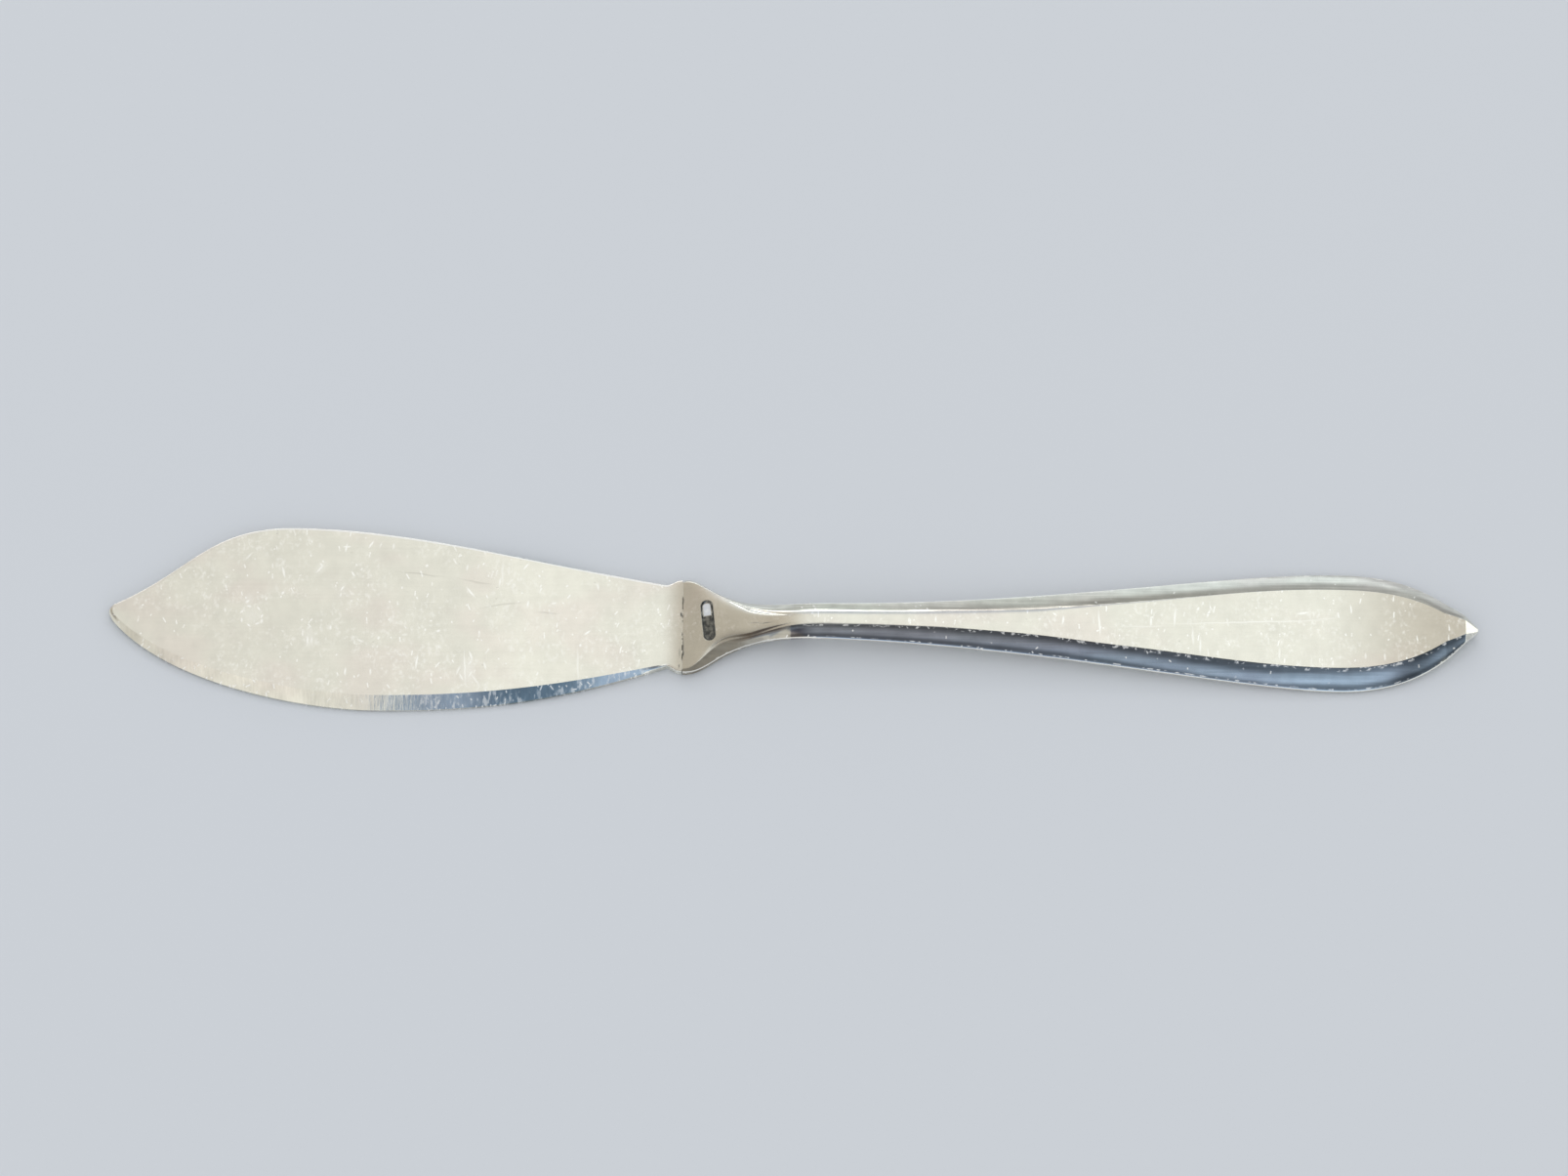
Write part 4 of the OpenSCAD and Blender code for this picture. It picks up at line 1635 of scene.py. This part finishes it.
@dataclass(frozen=True)
class Surroundings:
    """What the silver mirrors: a pale sky, a tan side and a slate shade over the camera's side.

    Spans in lat are degrees towards +Y, spans in lon degrees towards +X and spans in up shares of +Z.
    """

    fill: Colour = (0.88, 0.89, 0.90)
    sky: Stops = (
        (-90, (0.85, 0.87, 0.90)), (-68, (1.0, 1.0, 1.0)), (-45, (0.91, 0.915, 0.89)),
        (0, (0.93, 0.93, 0.915)), (24, (0.96, 0.96, 0.95)), (34, (0.90, 0.90, 0.91)),
        (40, (0.52, 0.56, 0.66)), (49, (0.42, 0.46, 0.56)), (54, (0.56, 0.60, 0.64)),
        (61, (0.60, 0.65, 0.67)), (64, (0.52, 0.55, 0.56)), (68, (0.58, 0.60, 0.61)),
        (73, (0.67, 0.71, 0.74)), (78, (0.75, 0.80, 0.85)), (84, (0.87, 0.93, 0.99)),
        (90, (0.92, 0.96, 1.02)),
    )
    sky_turn: Point = (-7, -1.6)
    sky_left: Colour = (0.90, 0.89, 0.88)
    sky_right: Colour = (1.13, 1.15, 1.14)
    glow_lon: Point = (40, 65)
    glow_gain: float = 0.35
    dip_lon: Triple = (2.5, 6.0, 1.2)
    dip_loss: float = 0.12
    tan: Stops = (
        (-60, (0.95, 0.94, 0.905)), (-40, (0.95, 0.94, 0.905)), (-27, (0.90, 0.88, 0.84)),
        (-21, (0.55, 0.50, 0.43)), (-13, (0.18, 0.15, 0.125)), (-4, (0.32, 0.285, 0.25)),
        (8, (0.46, 0.42, 0.37)), (22, (0.57, 0.52, 0.455)), (34, (0.60, 0.56, 0.50)),
        (42, (0.75, 0.73, 0.70)), (49, (1.2, 1.2, 1.2)), (56, (1.2, 1.2, 1.2)), (61, (0.62, 0.68, 0.70)),
    )
    tan_dim: Point = (-28, -22)
    tan_loss: float = 0.12
    tan_lon: Window = (-54, -40, -13, -5)
    tan_top: Point = (60, 66)
    tan_up: Point = (0.3, 0.5)
    slate: Stops = (
        (-72, (0.52, 0.68, 0.92)), (-56, (0.47, 0.63, 0.88)), (-44, (0.44, 0.59, 0.84)),
        (-38, (0.40, 0.54, 0.77)), (-34, (0.30, 0.40, 0.57)), (-30, (0.27, 0.345, 0.48)),
        (-25, (0.25, 0.30, 0.41)), (-19, (0.235, 0.265, 0.337)), (-8, (0.22, 0.24, 0.29)),
        (2, (0.25, 0.26, 0.28)),
    )
    deep: Colour = (0.275, 0.36, 0.52)
    deep_lon: Point = (0.5, 5.5)
    deep_lat: Point = (-34, -29)
    fade_lon: Point = (10, 24)
    fade_loss: float = 0.7
    back_lon: Point = (26, 40)
    back_gain: float = 0.2
    slant_lat: Point = (-34, -27)
    slant: float = 6.5
    front_start: Point = (-3.55, -2.65)
    front_end: Point = (60, 72)
    front_lat: Window = (-80, -70, -4, 1)
    front_up: Point = (0.12, 0.35)

    def paint(self, world: bpy.types.World) -> None:
        """Paints the dome that camera, glossy and transmission rays see; the others see the plain fill."""
        world.use_nodes = True
        dome = Dome(world.node_tree)
        sky = self._slate(dome, self._tan(dome, self._sky(dome)))
        ray = dome.node("ShaderNodeLightPath", {}, {}).outputs
        seen = top_of(Signal(dome, ray[f"Is {kind} Ray"]) for kind in ("Camera", "Glossy", "Transmission"))
        sky = dome.mix(seen, self.fill, sky)
        light = dome.node("ShaderNodeBackground", {}, {"Color": sky, "Strength": 1.0})
        dome.node("ShaderNodeOutputWorld", {}, {"Surface": light.outputs[0]})

    def _sky(self, dome: Dome) -> bpy.types.NodeSocket:
        """Paints the pale sky, which brightens towards the handle."""
        turn = dome.mix(dome.lon.rise(*self.sky_turn), self.sky_left, self.sky_right)
        glow = dome.lon.rise(*self.glow_lon) * self.glow_gain
        dip = dome.lon.band(*self.dip_lon) * self.dip_loss
        return dome.scale(dome.tint(1.0, dome.ramp(self.sky), turn), glow - dip + 1)

    def _tan(self, dome: Dome, under: Any) -> bpy.types.NodeSocket:
        """Lays the tan side, which the shoulder and the neck mirror, over what is there."""
        tan = dome.scale(dome.ramp(self.tan), 1 - dome.lon.fall(*self.tan_dim) * self.tan_loss)
        side = dome.lon.window(*self.tan_lon) * dome.lat.fall(*self.tan_top)
        return dome.mix(side * dome.up.rise(*self.tan_up), under, tan)

    def _slate(self, dome: Dome, under: Any) -> bpy.types.NodeSocket:
        """Lays the slate shade, which the lower bevels mirror, over what is there.

        Args:
            dome: Bench of the dome.
            under: What is painted already.

        Returns:
            The painted dome.
        """
        lat, lon = dome.lat, dome.lon
        deep = lon.fall(*self.deep_lon) * lat.fall(*self.deep_lat)
        slate = dome.mix(deep, dome.ramp(self.slate), self.deep)
        back = lon.rise(*self.back_lon) * self.back_gain
        slate = dome.scale(slate, 1 - lon.rise(*self.fade_lon) * self.fade_loss + back)
        start = lon + lat.rise(*self.slant_lat) * self.slant
        front = start.rise(*self.front_start) * lon.fall(*self.front_end)
        front = front * lat.window(*self.front_lat) * dome.up.rise(*self.front_up)
        return dome.mix(front, under, slate)


@dataclass
class Studio:
    """The pale floor, the dome of light, the strip lamp behind the knife and the camera."""

    photo_width: int = 1606
    pixels_per_mm: float = 8.211
    sensor: float = 36.0
    tilt: float = 22.0
    roll: float = 0.46
    distance: float = 800.0
    aim: Point = (-1.13, 4.92)
    floor_size: float = 8000.0
    floor_drop: float = 0.02
    floor_colour: Colour = (0.66, 0.69, 0.73)
    floor_rough: float = 0.7
    lamp_lat: float = 55.5
    lamp_distance: float = 900.0
    lamp_size: Point = (640.0, 100.0)
    lamp_shift: float = -205.0
    lamp_power: float = 0.36

    def build_camera(self) -> None:
        """Looks down on the knife at the photograph's tilt, from its belly's side."""
        data = bpy.data.cameras.new("camera")
        data.sensor_width = self.sensor
        data.sensor_fit = "HORIZONTAL"
        data.lens = self.distance * self.pixels_per_mm / self.photo_width * self.sensor
        data.clip_start = MM
        camera = bpy.data.objects.new("camera", data)
        bpy.context.scene.collection.objects.link(camera)
        tilt = math.radians(self.tilt)
        back = Vector((0.0, -math.sin(tilt), math.cos(tilt)))
        camera.location = (Vector((*self.aim, 0.0)) + back * self.distance) * MM
        turn = (-back).to_track_quat("-Z", "Y") @ Euler((0, 0, math.radians(self.roll))).to_quaternion()
        camera.rotation_mode = "QUATERNION"
        camera.rotation_quaternion = turn
        bpy.context.scene.camera = camera

    def build_floor(self) -> None:
        """Lays the floor just under the knife."""
        bpy.ops.object.select_all(action="DESELECT")
        bpy.ops.mesh.primitive_plane_add(size=self.floor_size * MM, location=(0, 0, -self.floor_drop * MM))
        floor = bpy.context.object
        floor.name = "floor"
        look = {"Base Color": self.floor_colour, "Roughness": self.floor_rough}
        floor.data.materials.append(Coat("pale_floor").surface(look))

    def build_lamp(self) -> None:
        """Hangs the strip lamp behind the knife, where the bevels of the neck mirror it as a white line."""
        data = bpy.data.lights.new("strip", "AREA")
        data.shape = "RECTANGLE"
        data.size, data.size_y = (side * MM for side in self.lamp_size)
        data.energy = self.lamp_power
        lamp = bpy.data.objects.new("strip", data)
        bpy.context.scene.collection.objects.link(lamp)
        lat = math.radians(self.lamp_lat)
        away = Vector((0.0, math.sin(lat), math.cos(lat)))
        lamp.location = (away * self.lamp_distance + Vector((self.lamp_shift, 0.0, 0.0))) * MM
        lamp.rotation_euler = (-away).to_track_quat("-Z", "Y").to_euler()

    def build(self) -> None:
        """Builds the whole studio."""
        bpy.context.scene.view_settings.view_transform = "Standard"
        self.build_camera()
        self.build_floor()
        self.build_lamp()
        bpy.context.scene.world = bpy.data.worlds.new("studio")
        Surroundings().paint(bpy.context.scene.world)


def main() -> None:
    """Builds the studio and the knife's pieces in order and reports each piece."""
    logging.basicConfig(level=logging.INFO, format="%(name)s: %(message)s")
    Studio().build()
    datum = Datum.from_frame()
    parts = (
        Blade(datum, SEAM_GAP, EAR_HALF),
        Handle(datum, EAR_HALF),
        SolderSeam(datum, SEAM_GAP, 2 * (EAR_HALF - SEAM_INSET)),
    )
    for part in parts:
        piece = part.build()
        part.dress(piece)
        LOG.info("%s: %d faces", piece.name, len(piece.data.polygons))


if __name__ == "__main__":
    main()
